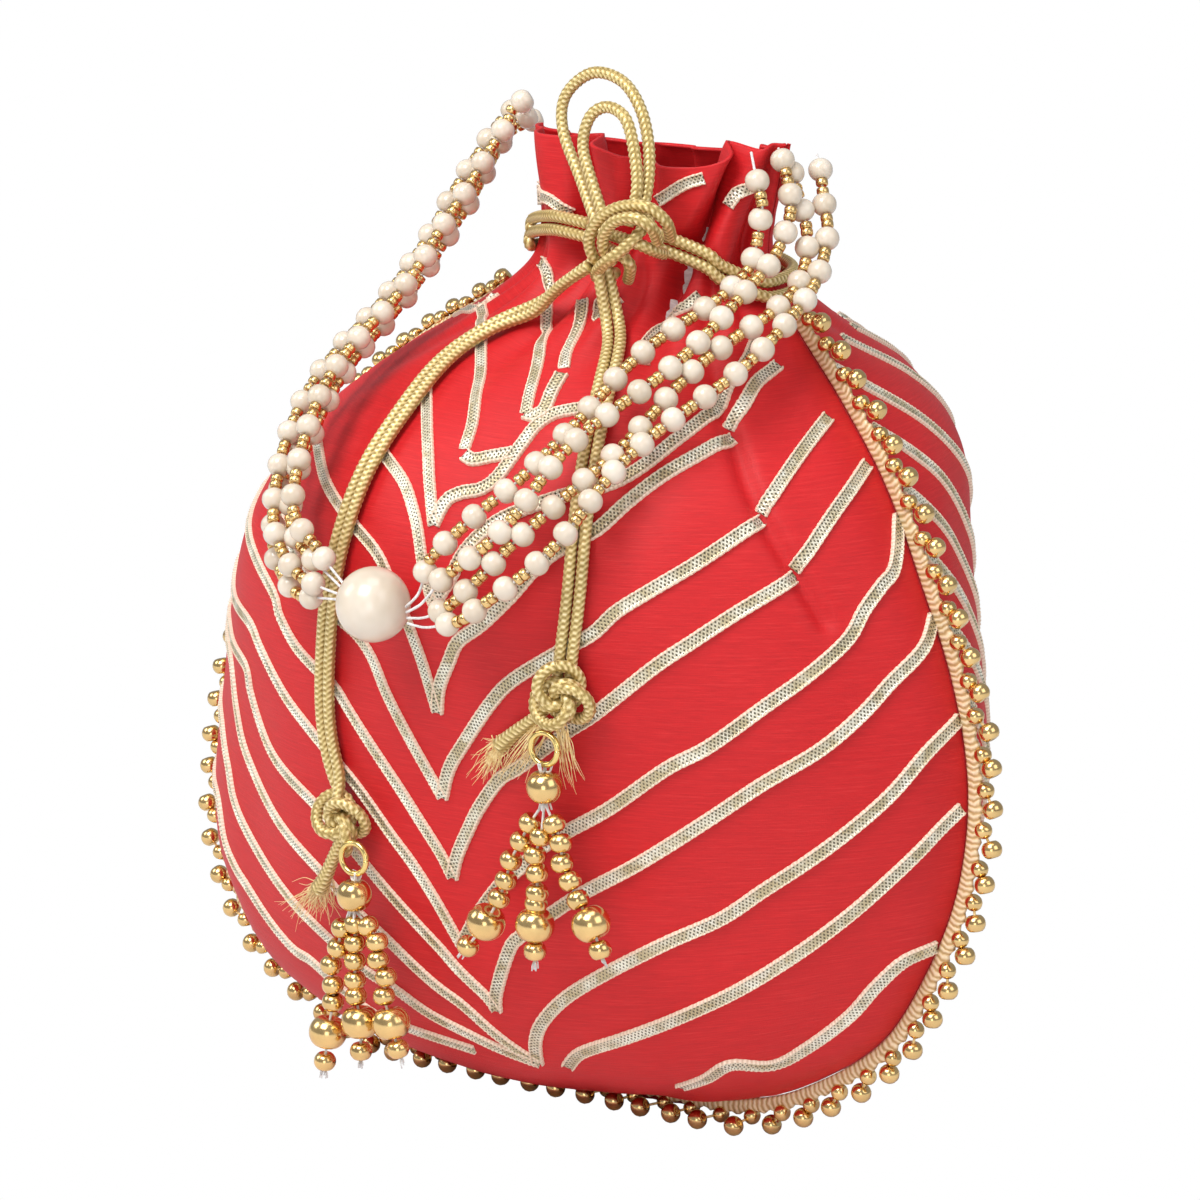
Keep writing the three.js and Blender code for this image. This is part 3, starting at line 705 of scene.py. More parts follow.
class Cloth:
    """The front or the back of the bag, with what lies on it found by pixel or by place."""

    def __init__(self, side, crease_line=()):
        self.side = side
        self.places, self.angles, self.points = cloth_grid(side, crease_line)
        self.normals = grid_normals(self.points, side)
        rows, columns = self.points.shape[:2]
        faces = grid_faces(rows, columns, side > 0)
        self.tree = BVHTree.FromPolygons([Vector(p) for p in self.points.reshape(-1, 3)], faces)

    def at(self, place, angle):
        """The point at a place and an angle."""
        row = min(max(place / LAST_ROW * (len(self.places) - 1), 0), len(self.places) - 1.001)
        column = np.interp(angle, self.angles, np.arange(len(self.angles)))
        column = min(column, len(self.angles) - 1.001)
        i, j = int(row), int(column)
        s, t = row - i, column - j
        weights = ((i, j, (1 - s) * (1 - t)), (i + 1, j, s * (1 - t)),
                   (i, j + 1, (1 - s) * t), (i + 1, j + 1, s * t))
        return Vector(sum(w * self.points[a, b] for a, b, w in weights))

    def under(self, x, y):
        """The point of the cloth behind a pixel, or the nearest one where the ray misses."""
        eye, ray = pixel_ray(x, y)
        hit = self.tree.ray_cast(eye, ray)
        if hit[0] is not None:
            return hit[0]
        depth = (CAMERA_TARGET - eye).length
        return self.tree.find_nearest(eye + ray * depth)[0]

    def below(self, point, outward, reach=12 * MM):
        """The cloth's point right under a point near it, and the cloth's direction there."""
        hit = self.tree.ray_cast(point + outward * reach, -outward, 3 * reach)
        if hit[0] is None:
            hit = self.tree.find_nearest(point)
        return hit[0], hit[1]


# The silk panels and the lining

def make_panel(name, cloth, node):
    rows, columns = cloth.points.shape[:2]
    faces = grid_faces(rows, columns, cloth.side > 0)
    uvs = arc_uvs(cloth.points / MM).reshape(-1, 2)
    panel = make_object(name, cloth.points.reshape(-1, 3), faces, uvs)
    solidify = panel.modifiers.new("thickness", "SOLIDIFY")
    solidify.thickness = CLOTH_THICKNESS * MM
    solidify.offset = -1
    finish_piece(panel, SILK_CLOTH, "bag", "silk", node)


LINING_THICKNESS = 0.4
LINING_INSET = 1.4
LINING_TOP_ROW = 13.4


def make_lining(front, back):
    """One pale bag inside both panels, a little below the rim."""
    rows = range(6, round(LINING_TOP_ROW / LAST_ROW * CLOTH_ROWS), 3)
    columns = list(range(2, CLOTH_COLUMNS - 2, 3))
    rings = []
    for row in rows:
        ring = [front.points[row, c] - LINING_INSET * MM * front.normals[row, c] for c in columns]
        ring += [back.points[row, c] - LINING_INSET * MM * back.normals[row, c] for c in reversed(columns)]
        rings.append(ring)
    sides = len(rings[0])
    vertices = [p for ring in rings for p in ring]
    uvs = [(7 * s / sides, r * 0.2) for r in range(len(rings)) for s in range(sides)]
    faces = ring_faces(len(rings), sides)[:-2]
    piece = make_object("lining_bag", vertices, faces, uvs)
    solidify = piece.modifiers.new("thickness", "SOLIDIFY")
    solidify.thickness = LINING_THICKNESS * MM
    finish_piece(piece, LINING_CLOTH, "bag", "lining", "lining")


# The front is made twice: the crease's pixels are found on it before it is creased
SMOOTH_FRONT = Cloth(1)
FRONT = Cloth(1, [SMOOTH_FRONT.under(x, y) for x, y in CREASE_PIXELS])
BACK = Cloth(-1)
make_panel("front_cloth", FRONT, "front_panel")
make_panel("back_cloth", BACK, "back_panel")
make_lining(FRONT, BACK)


# Lace ribbons
LACE_WIDTH = 3.0
LEFT_LACE_WIDTH = 2.6
LACE_STEP = 0.55
# The ribbon from side to side: shares of its half width, and heights in millimetres
LACE_PROFILE = [(-1.06, -0.35), (-1.0, 0.45), (-0.86, 0.8), (-0.7, 0.62), (-0.6, 0.34), (-0.3, 0.36),
                (0, 0.38), (0.3, 0.36), (0.6, 0.34), (0.7, 0.62), (0.86, 0.8), (1.0, 0.45), (1.06, -0.35)]
LACE_WOBBLE = 0.0352
LACE_TWIST = 0.09
LACE_RAISED_SHARE = 0.65
LACE_LIFT = 0.12
NECK_LACE_WIDTH = 2.6


def ribbon(shape, cloth, line, width=LACE_WIDTH, lift=0.0):
    """A lace ribbon on the cloth along a line near it, lifted where it crosses another."""
    line = smooth_line(line, LACE_STEP * MM)
    along = tangents(line)
    vertices, uvs, phase = [], [], rng.uniform(0, 9)
    for ring, (centre, tangent) in enumerate(zip(line, along)):
        _, outward = cloth.below(centre, cloth.tree.find_nearest(centre)[1])
        aside = tangent.cross(outward).normalized()
        for share, height in LACE_PROFILE:
            edge = abs(share) > LACE_RAISED_SHARE
            wobble = LACE_WOBBLE * math.sin(1.9 * ring + phase + 2.4 * share) * edge
            spot = centre + aside * (width / 2 * MM * share * (1 + wobble))
            base, up = cloth.below(spot, outward)
            twist = LACE_TWIST * math.sin(3.1 * ring + 4 * share) * edge
            vertices.append(base + up * MM * (height + twist + lift))
            uvs.append((ring * LACE_STEP / 10, 0.5 + share / 2))
    columns = len(LACE_PROFILE)
    faces = grid_faces(len(line), columns)
    faces += [tuple(reversed(range(columns))), tuple(range((len(line) - 1) * columns, len(line) * columns))]
    shape.add(vertices, faces, uvs)


# Lace lines on the front in pixels of the photograph: each chevron's left arm down to
# its tip, then its right arm up from it, in parts that meet at a crease or a fold
LACE_PIXELS = {
    12: [[(541, 262), (546, 269), (547, 309), (539, 357), (528, 403), (526, 413)],
         [(526, 414), (534, 416), (545, 409), (552, 392), (562, 374)]],
    11: [[(484, 302), (482, 332), (481, 369), (474, 416), (465, 449)],
         [(465, 455), (474, 460), (491, 457), (514, 453)]],
    10: [[(427, 384), (428, 438), (430, 482), (434, 525)],
         [(434, 525), (447, 501), (462, 493), (482, 489), (499, 476), (522, 445), (537, 426), (556, 414),
          (581, 409)]],
    9: [[(375, 442), (388, 459), (404, 482), (413, 507), (419, 534), (425, 573), (435, 607)],
        [(435, 607), (440, 595), (451, 578), (467, 549), (500, 520), (560, 497), (620, 480), (670, 445),
         (720, 405), (757, 340)]],
    8: [[(326, 410), (318, 440), (326, 480), (354, 524), (381, 559), (402, 608), (419, 651), (438, 712)],
        [(438, 712), (440, 687), (450, 660), (459, 641), (482, 624), (510, 597), (540, 564), (572, 542),
         (598, 529), (627, 503), (661, 477), (700, 454), (733, 439)],
        [(728, 430), (744, 404), (757, 382), (778, 365)]],
    7: [[(310, 425), (296, 450), (286, 476), (282, 515), (291, 542), (310, 580), (338, 616), (358, 635),
         (373, 658), (389, 697), (415, 747), (443, 797)],
        [(443, 797), (450, 768), (465, 742), (491, 703), (513, 680), (557, 653), (592, 634), (616, 612),
         (648, 592), (692, 566), (724, 545), (761, 521)],
        [(761, 514), (778, 486), (800, 454), (828, 417)]],
    6: [[(250, 532), (272, 588), (281, 616), (296, 645), (316, 668), (335, 686), (350, 710), (393, 777),
         (419, 818), (441, 853), (453, 877)],
        [(453, 877), (458, 855), (469, 829), (480, 807), (500, 779), (521, 766), (565, 733), (596, 713),
         (653, 668), (692, 642), (735, 614), (778, 588), (794, 577)],
        [(794, 570), (811, 547), (833, 514), (854, 484), (867, 464)]],
    5: [[(235, 591), (249, 620), (262, 649), (287, 697), (313, 732), (354, 781), (393, 836), (415, 866),
         (437, 901), (462, 945)],
        [(462, 945), (478, 915), (500, 885), (521, 867), (545, 845), (568, 831), (610, 808), (666, 769),
         (708, 747), (764, 707), (807, 676), (847, 640), (864, 610), (881, 586), (894, 567), (911, 552)]],
    4: [[(246, 664), (252, 692), (263, 729), (276, 758), (313, 801), (345, 838), (393, 896), (437, 944),
         (458, 968), (487, 996), (497, 1010)],
        [(497, 1010), (497, 992), (510, 949), (521, 936), (551, 914), (585, 892), (638, 864), (708, 820),
         (764, 783), (821, 749), (863, 713), (891, 682), (924, 646), (934, 618)]],
    3: [[(233, 664), (237, 703), (244, 742), (257, 777), (274, 812), (315, 864), (350, 903), (389, 940),
         (437, 985), (464, 1005), (497, 1034), (540, 1062)],
        [(538, 1062), (536, 1040), (544, 1020), (568, 996), (610, 971), (666, 943), (722, 918), (764, 890),
         (807, 862), (849, 831), (891, 794), (927, 752), (958, 719)]],
    2: [[(224, 729), (229, 764), (235, 799), (248, 831), (281, 885), (307, 916), (360, 965), (395, 988),
         (432, 1014), (475, 1036), (518, 1055), (540, 1063)],
        [(568, 1066), (582, 1052), (624, 1038), (675, 1019), (736, 991), (792, 957), (849, 915), (891, 878),
         (933, 836), (961, 808)]],
    1: [[(220, 801), (226, 840), (237, 868), (252, 892), (292, 946), (313, 961), (345, 990), (380, 1015),
         (414, 1029), (453, 1042), (475, 1049)],
        [(680, 1086), (705, 1078), (731, 1064), (773, 1064), (807, 1047), (849, 1016), (877, 985), (905, 960),
         (936, 946)]],
}
# Short lace ends that show between the folds of the neck
NECK_LACE_PIXELS = [
    [(521, 186), (534, 205)], [(538, 187), (548, 198), (572, 214)],
    [(658, 201), (683, 185), (704, 178)], [(728, 206), (736, 194), (752, 187), (764, 184)],
    [(598, 318), (600, 303), (610, 298), (618, 305)],
    [(644, 365), (643, 349), (654, 334), (669, 323), (686, 307), (700, 296)],
    [(583, 300), (579, 326), (568, 351), (564, 368)], [(458, 314), (470, 296), (487, 283)],
]
# Left arms that start at the edge the camera sees run on behind it, up to the seam
SEAM_LACES = (1, 2, 3, 4, 5, 6)
LACE_SEAM_RISE = 9
TRIM_TOP_ROW = 11.2


def lace_line(pixels):
    return [FRONT.under(x, y) for x, y in pixels]


def from_left_seam(line):
    """The same lace line, begun at the left seam, which the camera doesn't see."""
    seam = [skin(place, math.pi, 1, 0) * MM for place in np.linspace(0, TRIM_TOP_ROW, 120)]
    start = min(seam, key=lambda p: abs(p.z - line[0].z - LACE_SEAM_RISE * MM))
    return [line[0].lerp(start, share) for share in (0.96, 0.65, 0.33)] + line


def make_front_laces():
    for index, parts in LACE_PIXELS.items():
        shape = Shape()
        for order, pixels in enumerate(parts):
            width = LACE_WIDTH if order else LEFT_LACE_WIDTH
            line = lace_line(pixels)
            if order == 0 and index in SEAM_LACES:
                line = from_left_seam(line)
            ribbon(shape, FRONT, line, width, LACE_LIFT * (order % 2))
        name = f"front_lace_ribbon_{index}"
        finish_piece(shape.piece(name), LACE, "bag", "lace", f"front_lace_{index}")
    shape = Shape()
    for pixels in NECK_LACE_PIXELS:
        ribbon(shape, FRONT, lace_line(pixels), NECK_LACE_WIDTH)
    finish_piece(shape.piece("neck_lace_ends"), LACE, "bag", "lace")


# Lace on the back: chevrons from the left seam down to a tip and up to the right one
BACK_LACE_TIPS = [2.85, 3.25, 3.95, 4.6, 5.25, 5.95, 6.75, 7.7, 8.55, 9.3]
LACE_RISE = 3.65
LACE_TOP_ROW = 10.7
LACE_SEAM_MARGIN = 0.05
LACE_SWEEP = 1.6


def make_back_laces():
    for index, tip in enumerate(BACK_LACE_TIPS, 1):
        shape = Shape()
        share = min(1, (LACE_TOP_ROW - tip) / LACE_RISE)
        sweep = share * (math.pi / 2 - LACE_SEAM_MARGIN)
        for turn in (-1, 1):
            count = max(4, round(16 * share))
            arm = []
            for step in range(count + 1):
                place = tip + share * LACE_RISE * (step / count) ** LACE_SWEEP
                arm.append(BACK.at(place, math.pi / 2 + turn * sweep * step / count))
            ribbon(shape, BACK, arm, lift=LACE_LIFT * (turn > 0))
        name = f"back_lace_ribbon_{index}"
        finish_piece(shape.piece(name), LACE, "bag", "lace", f"back_lace_{index}")


make_front_laces()
make_back_laces()


# Beaded trim in the seam. It turns back behind the left shoulder, between two heights
TRIM_TURN = 1.05
TRIM_TURN_START = 84
TRIM_TURN_END = 104
TRIM_PITCH = 7.7
OUTER_BEAD = 4.5
INNER_BEAD = 3.9
OUTER_REACH = 6.4
INNER_REACH = 4.2
BEAD_SWAY = 0.35
BEAD_TILT = 0.5
FIRST_BEAD = 2.0
INNER_SHARE = 0.42
TAPE_GAP = 0.3
TAPE_WIDTH = 3.2
TAPE_THICKNESS = 1.15
TAPE_RIPPLE = 0.12
SEAM_STEP = 0.9
THREAD_RADIUS = 0.3
# Round the tape: shares of its width, and of its thickness
TAPE_PROFILE = [(0, 0.25), (0.15, 0.5), (0.5, 0.42), (0.85, 0.5), (1, 0.25),
                (1, -0.25), (0.85, -0.5), (0.5, -0.42), (0.15, -0.5), (0, -0.25)]
BACKWARD = Vector((0, 1, 0))


def seam_line():
    down = [skin(place, 0, 1, 0) for place in np.linspace(TRIM_TOP_ROW, 0, 60)]
    bottom = [skin(0, angle, 1, 0) for angle in np.linspace(0, math.pi, 14)[1:-1]]
    up = [skin(place, math.pi, 1, 0) for place in np.linspace(0, TRIM_TOP_ROW, 60)]
    return smooth_line([p * MM for p in down + bottom + up], SEAM_STEP * MM)


def settled(base, point, radius):
    """A bead's centre, moved forward where the floor is in its way."""
    if point.z >= radius:
        return point
    reach, drop = (point - base).length, base.z - radius
    return Vector((point.x, base.y - math.sqrt(max(reach ** 2 - drop ** 2, 0)), radius))


def outward_of(line):
    """The directions in which the trim stands off the seam."""
    directions = []
    for point, along in zip(line, tangents(line)):
        outward = Vector((-along.z, 0, along.x)).normalized()
        if point.x < SHIFT.x * MM:
            share = (point.z / MM - TRIM_TURN_START) / (TRIM_TURN_END - TRIM_TURN_START)
            turn = TRIM_TURN * min(1, max(0, share))
            outward = outward * math.cos(turn) + BACKWARD * math.sin(turn)
        directions.append(outward)
    return directions


def make_tape(line, outward):
    tape = Shape()
    vertices, uvs = [], []
    for ring, (point, out) in enumerate(zip(line, outward)):
        ripple = TAPE_RIPPLE * math.sin(ring * 1.7)
        for share, half in TAPE_PROFILE:
            reach = (TAPE_GAP + TAPE_WIDTH * share * (1 + ripple)) * MM
            spot = point + out * reach + BACKWARD * (TAPE_THICKNESS * half * MM)
            vertices.append(settled(point, spot, 0.2 * MM))
            uvs.append((ring * SEAM_STEP / 10, share))
    tape.add(vertices, ring_faces(len(line), len(TAPE_PROFILE)), uvs)
    finish_piece(tape.piece("braid_tape"), TAPE, "bag", "braid_tape", "seam_tape")


def make_seam_beads(line, outward):
    """Inner and outer beads by turns, and the thread that zigzags through them."""
    beads, thread, along = Shape(), [], tangents(line)
    distance, index, travelled = FIRST_BEAD, 0, 0.0
    for ring in range(1, len(line)):
        travelled += (line[ring] - line[ring - 1]).length / MM
        if travelled < distance:
            continue
        outer = index % 2 == 1
        radius = (OUTER_BEAD if outer else INNER_BEAD) / 2
        reach = OUTER_REACH if outer else INNER_REACH
        sway = rng.uniform(-BEAD_SWAY, BEAD_SWAY)
        centre = line[ring] + outward[ring] * ((reach + 0.3 * sway) * MM) + BACKWARD * (sway * MM)
        centre = settled(line[ring], centre, (radius + 0.1) * MM)
        tilt = BEAD_TILT if outer else -BEAD_TILT
        axis = (along[ring] + outward[ring] * tilt).normalized()
        beads.ball(centre, radius * MM, 10, 16, axis, 0.96, 0.25)
        root = thread[-1][-1] if outer else line[ring] + outward[ring] * (TAPE_GAP + TAPE_WIDTH) * MM
        thread.append([root, centre])
        distance += (1 - INNER_SHARE if outer else INNER_SHARE) * TRIM_PITCH
        index += 1
    finish_piece(beads.piece("seam_bead_row"), BEAD, "bag", "gold_beads", "seam_beads")
    string = Shape()
    for ends in thread:
        string.tube(even_line(ends, 0.8 * MM), THREAD_RADIUS * MM, 6)
    finish_piece(string.piece("seam_bead_thread"), GOLD_THREAD, "bag", "braid_tape")


trim_line = seam_line()
trim_outward = outward_of(trim_line)
make_tape(trim_line, trim_outward)
make_seam_beads(trim_line, trim_outward)


# Cords
CORD_RADIUS = 1.27
CORD_STEP = 0.26
CORD_SIDES = 14
TAIL_REST = 2.35
TAIL_GAP = 0.15
BAG_HEART = Vector((0, 5, BAG_HEIGHT / 2)) + SHIFT

# The middle lines of the two doubled tails, from the knot at the neck, in millimetres
LEFT_TAIL = [
    (12.6, -20.4, 191), (8, -20.3, 188.2), (-3.6, -17.6, 181.8), (-13, -22, 176.7),
    (-17.6, -29.2, 170.9), (-18.9, -37, 164.8), (-19.8, -44.6, 157.7), (-21.7, -50.2, 151.2),
    (-24, -56.1, 141.4), (-26.6, -59.6, 129.8), (-29.6, -59.6, 119.6), (-32.3, -58.1, 108.8),
    (-34.1, -55.8, 96.2), (-34.6, -54.8, 86), (-33.2, -55.6, 76.9), (-30.4, -56.2, 71.5),
]
RIGHT_TAIL = [
    (15.2, -20, 190), (16.6, -19.2, 184.4), (20.6, -22.8, 175.6), (25.8, -34.8, 165),
    (30, -45.9, 152.4), (32.7, -52.8, 139), (33.8, -56.1, 127), (32.7, -57.9, 113.2), (32.4, -58.6, 108),
]
# The two bow loops: pixels with their depth in millimetres
OUTER_BOW = [
    (600, 234, -31), (581, 180, -28), (563, 130, -26), (566, 95, -25), (592, 73, -24.5), (622, 81, -25),
    (641, 110, -26), (649, 150, -27.5), (647, 190, -30), (638, 226, -33),
]
INNER_BOW = [
    (608, 230, -32), (592, 182, -31), (583, 146, -30), (590, 117, -29.5), (607, 107, -29), (625, 118, -30),
    (634, 150, -31), (637, 190, -32.5), (628, 226, -34),
]


def route(points):
    return [(Vector(p) + SHIFT) * MM for p in points]


def deep_line(points):
    """Points given as pixels with their depth in millimetres."""
    return [on_depth(x, y, depth * MM) for x, y, depth in points]


def cord_tube(shape, line, taper=None):
    line = smooth_line(line, CORD_STEP * MM)
    shape.tube(line, CORD_RADIUS * MM, CORD_SIDES, braid, taper)
    return line


def beside(line, distance, rest, near=7.0):
    """A line beside another, that rests at a height over the front's cloth where it is near."""
    moved = []
    for point, tangent in zip(line, tangents(line)):
        outward = (point - BAG_HEART * MM).normalized()
        spot = point + tangent.cross(outward).normalized() * (distance * MM)
        base, up = FRONT.below(spot, outward, 30 * MM)
        height = (spot - base).dot(outward)
        if height < near * MM:
            spot = base + outward * rest * MM
        moved.append(spot)
    for _ in range(4):
        inner = [(a + 2 * b + c) / 4 for a, b, c in zip(moved, moved[1:], moved[2:])]
        moved = [moved[0], *inner, moved[-1]]
    return moved


def make_tail(name, points, node, *with_pieces):
    middle = smooth_line(route(points), 3 * MM)
    for index, share in enumerate((-0.5, 0.5)):
        shape = Shape()
        line = cord_tube(shape, beside(middle, share * (2 * CORD_RADIUS + TAIL_GAP), TAIL_REST))
        piece = finish_piece(shape.piece(f"{name}_cord_{index + 1}"), CORD_BRAID, "bag", "braided_cord",
                             f"{node}_{index + 1}")


def knot_line(centre, radius, outward, turns=120, turn=0.0):
    """A trefoil, the shape of a tied overhand knot, that faces outward."""
    across = Vector((0, 0, 1)).cross(outward).normalized()
    up = outward.cross(across)
    line = []
    for step in range(turns + 1):
        angle = 4 * math.pi * step / turns
        reach = radius * (2 + math.cos(1.5 * angle)) / 2
        flat = across * math.cos(angle + turn) + up * math.sin(angle + turn)
        lift = 0.5 * radius * math.sin(1.5 * angle)
        line.append(centre + (flat * reach + outward * lift) * MM)
    return line


# The two end knots: centre in millimetres, and how big
LEFT_KNOT = Vector((-21.3, -67.1, 69.9))
RIGHT_KNOT = Vector((40.3, -70.3, 106.5))
END_KNOT_RADIUS = 4.5
STUB_FLARE = 0.5
# The frayed stub below each end knot, in pixels with the depth in millimetres
LEFT_STUB = [(344, 832, -68), (334, 856, -66.5), (325, 878, -65), (319, 888, -64)]
RIGHT_STUB = [(556, 700, -71), (536, 717, -70), (515, 733, -69), (501, 745, -68)]


def make_end_knot(name, centre, node, turn, stub):
    """Two strands tied into one knot, and the stub that sticks out below it."""
    outward = (centre * MM - FRONT.tree.find_nearest(centre * MM)[0]).normalized()
    shape = Shape()
    cord_tube(shape, knot_line(centre * MM, END_KNOT_RADIUS, outward, turn=turn))
    cord_tube(shape, knot_line(centre * MM, 0.6 * END_KNOT_RADIUS, outward, turn=turn + 1))
    cord_tube(shape, deep_line(stub), lambda share: 1 + STUB_FLARE * share ** 2)
    return finish_piece(shape.piece(name), CORD_BRAID, "bag", "braided_cord", node)


def fibre(shape, points, radius):
    shape.tube(smooth_line(points, 0.9 * MM), radius * MM, 5, taper=lambda share: 1.1 - 0.8 * share)


# Frays of the cord ends: root and tip pixels, the root's depth in millimetres, the
# spread in pixels, and how many fibres
FRAYS = [
    ((322, 884), (314, 908), -64, 26, 110), ((503, 742), (488, 765), -68, 20, 90),
    ((540, 728), (512, 768), -70, 12, 30), ((562, 728), (574, 780), -71, 14, 26),
]
FRAY_REST = 1.6


def make_frays():
    shape = Shape()
    for root, tip, depth, spread, count in FRAYS:
        for _ in range(count):
            length = rng.uniform(0.6, 1.3)
            start = (root[0] + rng.gauss(0, 4), root[1] + rng.gauss(0, 3))
            end = (start[0] + (tip[0] - root[0]) * length + rng.gauss(0, spread / 2),
                   start[1] + (tip[1] - root[1]) * length + rng.gauss(0, spread / 3))
            line = []
            for share in (0, 0.35, 0.7, 1):
                x = start[0] + (end[0] - start[0]) * share + rng.gauss(0, 1.6)
                y = start[1] + (end[1] - start[1]) * share + rng.gauss(0, 1.6)
                rest = FRONT.under(x, y).y / MM - FRAY_REST - rng.uniform(0, 1.2)
                line.append(on_depth(x, y, (depth + (min(rest, depth + 6) - depth) * share) * MM))
            fibre(shape, line, rng.uniform(0.09, 0.17))
    finish_piece(shape.piece("cord_frays"), GOLD_THREAD, "bag", "braided_cord")


# The wound part round the neck: pixels right of the knot, heights behind, pixels left of it
WRAP_RIGHT = [(655, 236), (690, 254), (720, 272), (745, 286), (768, 287)]
WRAP_LEFT = [(523, 236), (540, 226), (565, 222), (600, 229)]
WRAP_REACH = 2.5
WRAP_STEP = math.radians(15)
WRAP_SPREAD = 1.5


def place_at_height(height):
    places = np.linspace(10, LAST_ROW, 400)
    heights = [BAG_HEIGHT * row_value("seam", place) for place in places]
    return float(np.interp(height, heights, places))


def neck_point(angle, height):
    """A point beside the neck: angle 0 is at the right, a quarter turn at the front."""
    place = place_at_height(height)
    face = "front" if math.sin(angle) > 0 else "back"
    return Vector((
        BAG_SHIFT[0] + row_value("shiftX", place) + (row_value("half", place) + WRAP_REACH) * math.cos(angle),
        BAG_SHIFT[1] + row_value("shiftY", place) - (row_value(face, place) + WRAP_REACH) * math.sin(angle),
        height,
    )) * MM


def neck_spot(x, y):
    """The angle and the height of the cloth behind a pixel of the neck."""
    point = FRONT.under(x, y) / MM
    place = place_at_height(point.z)
    across = (point.x - BAG_SHIFT[0] - row_value("shiftX", place)) / row_value("half", place)
    forward = (BAG_SHIFT[1] + row_value("shiftY", place) - point.y) / row_value("front", place)
    return math.atan2(max(forward, 0.02), across), point.z


def make_wrap():
    """The doubled cord round the neck, from the knot's right to its left."""
    spots = [neck_spot(x, y) for x, y in WRAP_RIGHT]
    last = [neck_spot(x, y) for x, y in WRAP_LEFT]
    start, end = spots[-1], last[0]
    turn = start[0] + 2 * math.pi - end[0]
    steps = int(turn / WRAP_STEP)
    for step in range(1, steps):
        share = step / steps
        spots.append((start[0] - turn * share, start[1] + (end[1] - start[1]) * share))
    spots += last
    shape = Shape()
    for rise in (-WRAP_SPREAD, WRAP_SPREAD):
        cord_tube(shape, [neck_point(angle, height + rise) for angle, height in spots])
    finish_piece(shape.piece("drawstring_wound_cords"), CORD_BRAID, "bag", "braided_cord", "drawstring_wrap")


# The knot's strands: pixels with their depth in millimetres
KNOT_STRANDS = [
    [(606, 268, -29), (594, 258, -33), (589, 240, -35), (598, 220, -36), (620, 207, -36), (647, 207, -35),
     (666, 222, -32), (671, 238, -27)],
    [(612, 262, -31), (604, 250, -35), (604, 235, -37), (614, 222, -38), (632, 218, -38), (650, 226, -36),
     (658, 242, -31)],
    [(598, 232, -29), (615, 236, -33), (636, 243, -34), (652, 250, -31), (664, 254, -26)],
    [(652, 214, -29), (640, 232, -34), (622, 250, -36), (606, 262, -36), (596, 274, -32), (604, 282, -28),
     (616, 272, -29)],
    [(604, 246, -28), (622, 256, -32), (630, 266, -31), (628, 280, -27)],
]


def make_tied(name, strands, node):
    shape = Shape()
    for strand in strands:
        cord_tube(shape, deep_line(strand))
    finish_piece(shape.piece(name), CORD_BRAID, "bag", "braided_cord", node)


make_wrap()
make_tied("drawstring_tied_knot", KNOT_STRANDS, "drawstring_knot")
make_tied("bow_cord_outer", [OUTER_BOW], "bow_loop_outer")
make_tied("bow_cord_inner", [INNER_BOW], "bow_loop_inner")
make_frays()
left_knot = make_end_knot("left_end_knot", LEFT_KNOT, "left_tassel_end_knot", 0.5, LEFT_STUB)
right_knot = make_end_knot("right_end_knot", RIGHT_KNOT, "right_tassel_end_knot", 1.7, RIGHT_STUB)
make_tail("left_tail", LEFT_TAIL, "left_tail", left_knot)
make_tail("right_tail", RIGHT_TAIL, "right_tail", right_knot)


# Tassels: ring, cap bead and three strands, with the strands' beads in pixels
RING_RADIUS = 3.4
RING_WIRE = 0.65
CAP_DIAMETER = 7.7
SMALL_BEAD = 4.9
BIG_BEAD = 8.4
TASSELS = {
    "left": {
        "ring": Vector((-15.0, -70.6, 63.4)),
        "strands": [
            [(342, 928), (338, 948), (331, 965), (333, 985), (333, 1002), (328, 1032), (325, 1061)],
            [(355, 924), (355, 943), (355, 961), (355, 980), (356, 996), (360, 1022), (361, 1051)],
            [(368, 926), (377, 942), (378, 960), (386, 977), (384, 996), (391, 1023), (398, 1049)],
        ],
    },
    "right": {
        "ring": Vector((36.6, -71.1, 95.2)),
        "strands": [
            [(530, 823), (521, 841), (511, 860), (506, 880), (499, 898), (486, 922), (468, 946)],
            [(541, 836), (535, 855), (537, 873), (537, 893), (536, 904), (535, 925), (535, 951)],
            [(554, 824), (561, 843), (562, 863), (570, 881), (578, 900), (591, 924), (600, 950)],
        ],
    },
}
CAP_DROP = 8.2
CAP_THREAD_RISE = 3.3
CAP_THREADS = 9
END_THREADS = 7


def make_cap_threads(white, cap):
    """Short threads that stick out above and below the cap bead."""
    for end, reach in ((1, 1.9), (-1, -1.7)):
        spot = cap + Vector((0, 0, end * CAP_THREAD_RISE * MM))
        for _ in range(CAP_THREADS):
            sway = Vector((rng.uniform(-1, 1), rng.uniform(-1, 1), 0)) * MM
            tip = spot + sway * 1.6 + Vector((0, 0, reach * MM))
            white.tube(smooth_line([spot + sway * 0.3, spot + sway, tip], 0.4 * MM), 0.22 * MM, 5)


def make_end_threads(white, last, down):
    """Short threads that stick out below a strand's last bead."""
    for _ in range(END_THREADS):
        sway = Vector([rng.uniform(-1, 1) for _ in range(3)]) * (0.7 * MM)
        tip = last + down * (rng.uniform(3, 4.1) * MM) + sway
        root, bend = last + down * (2 * MM) + sway * 0.4, last + down * (2.6 * MM) + sway * 0.9
        white.tube([root, bend, tip], 0.16 * MM, 5)


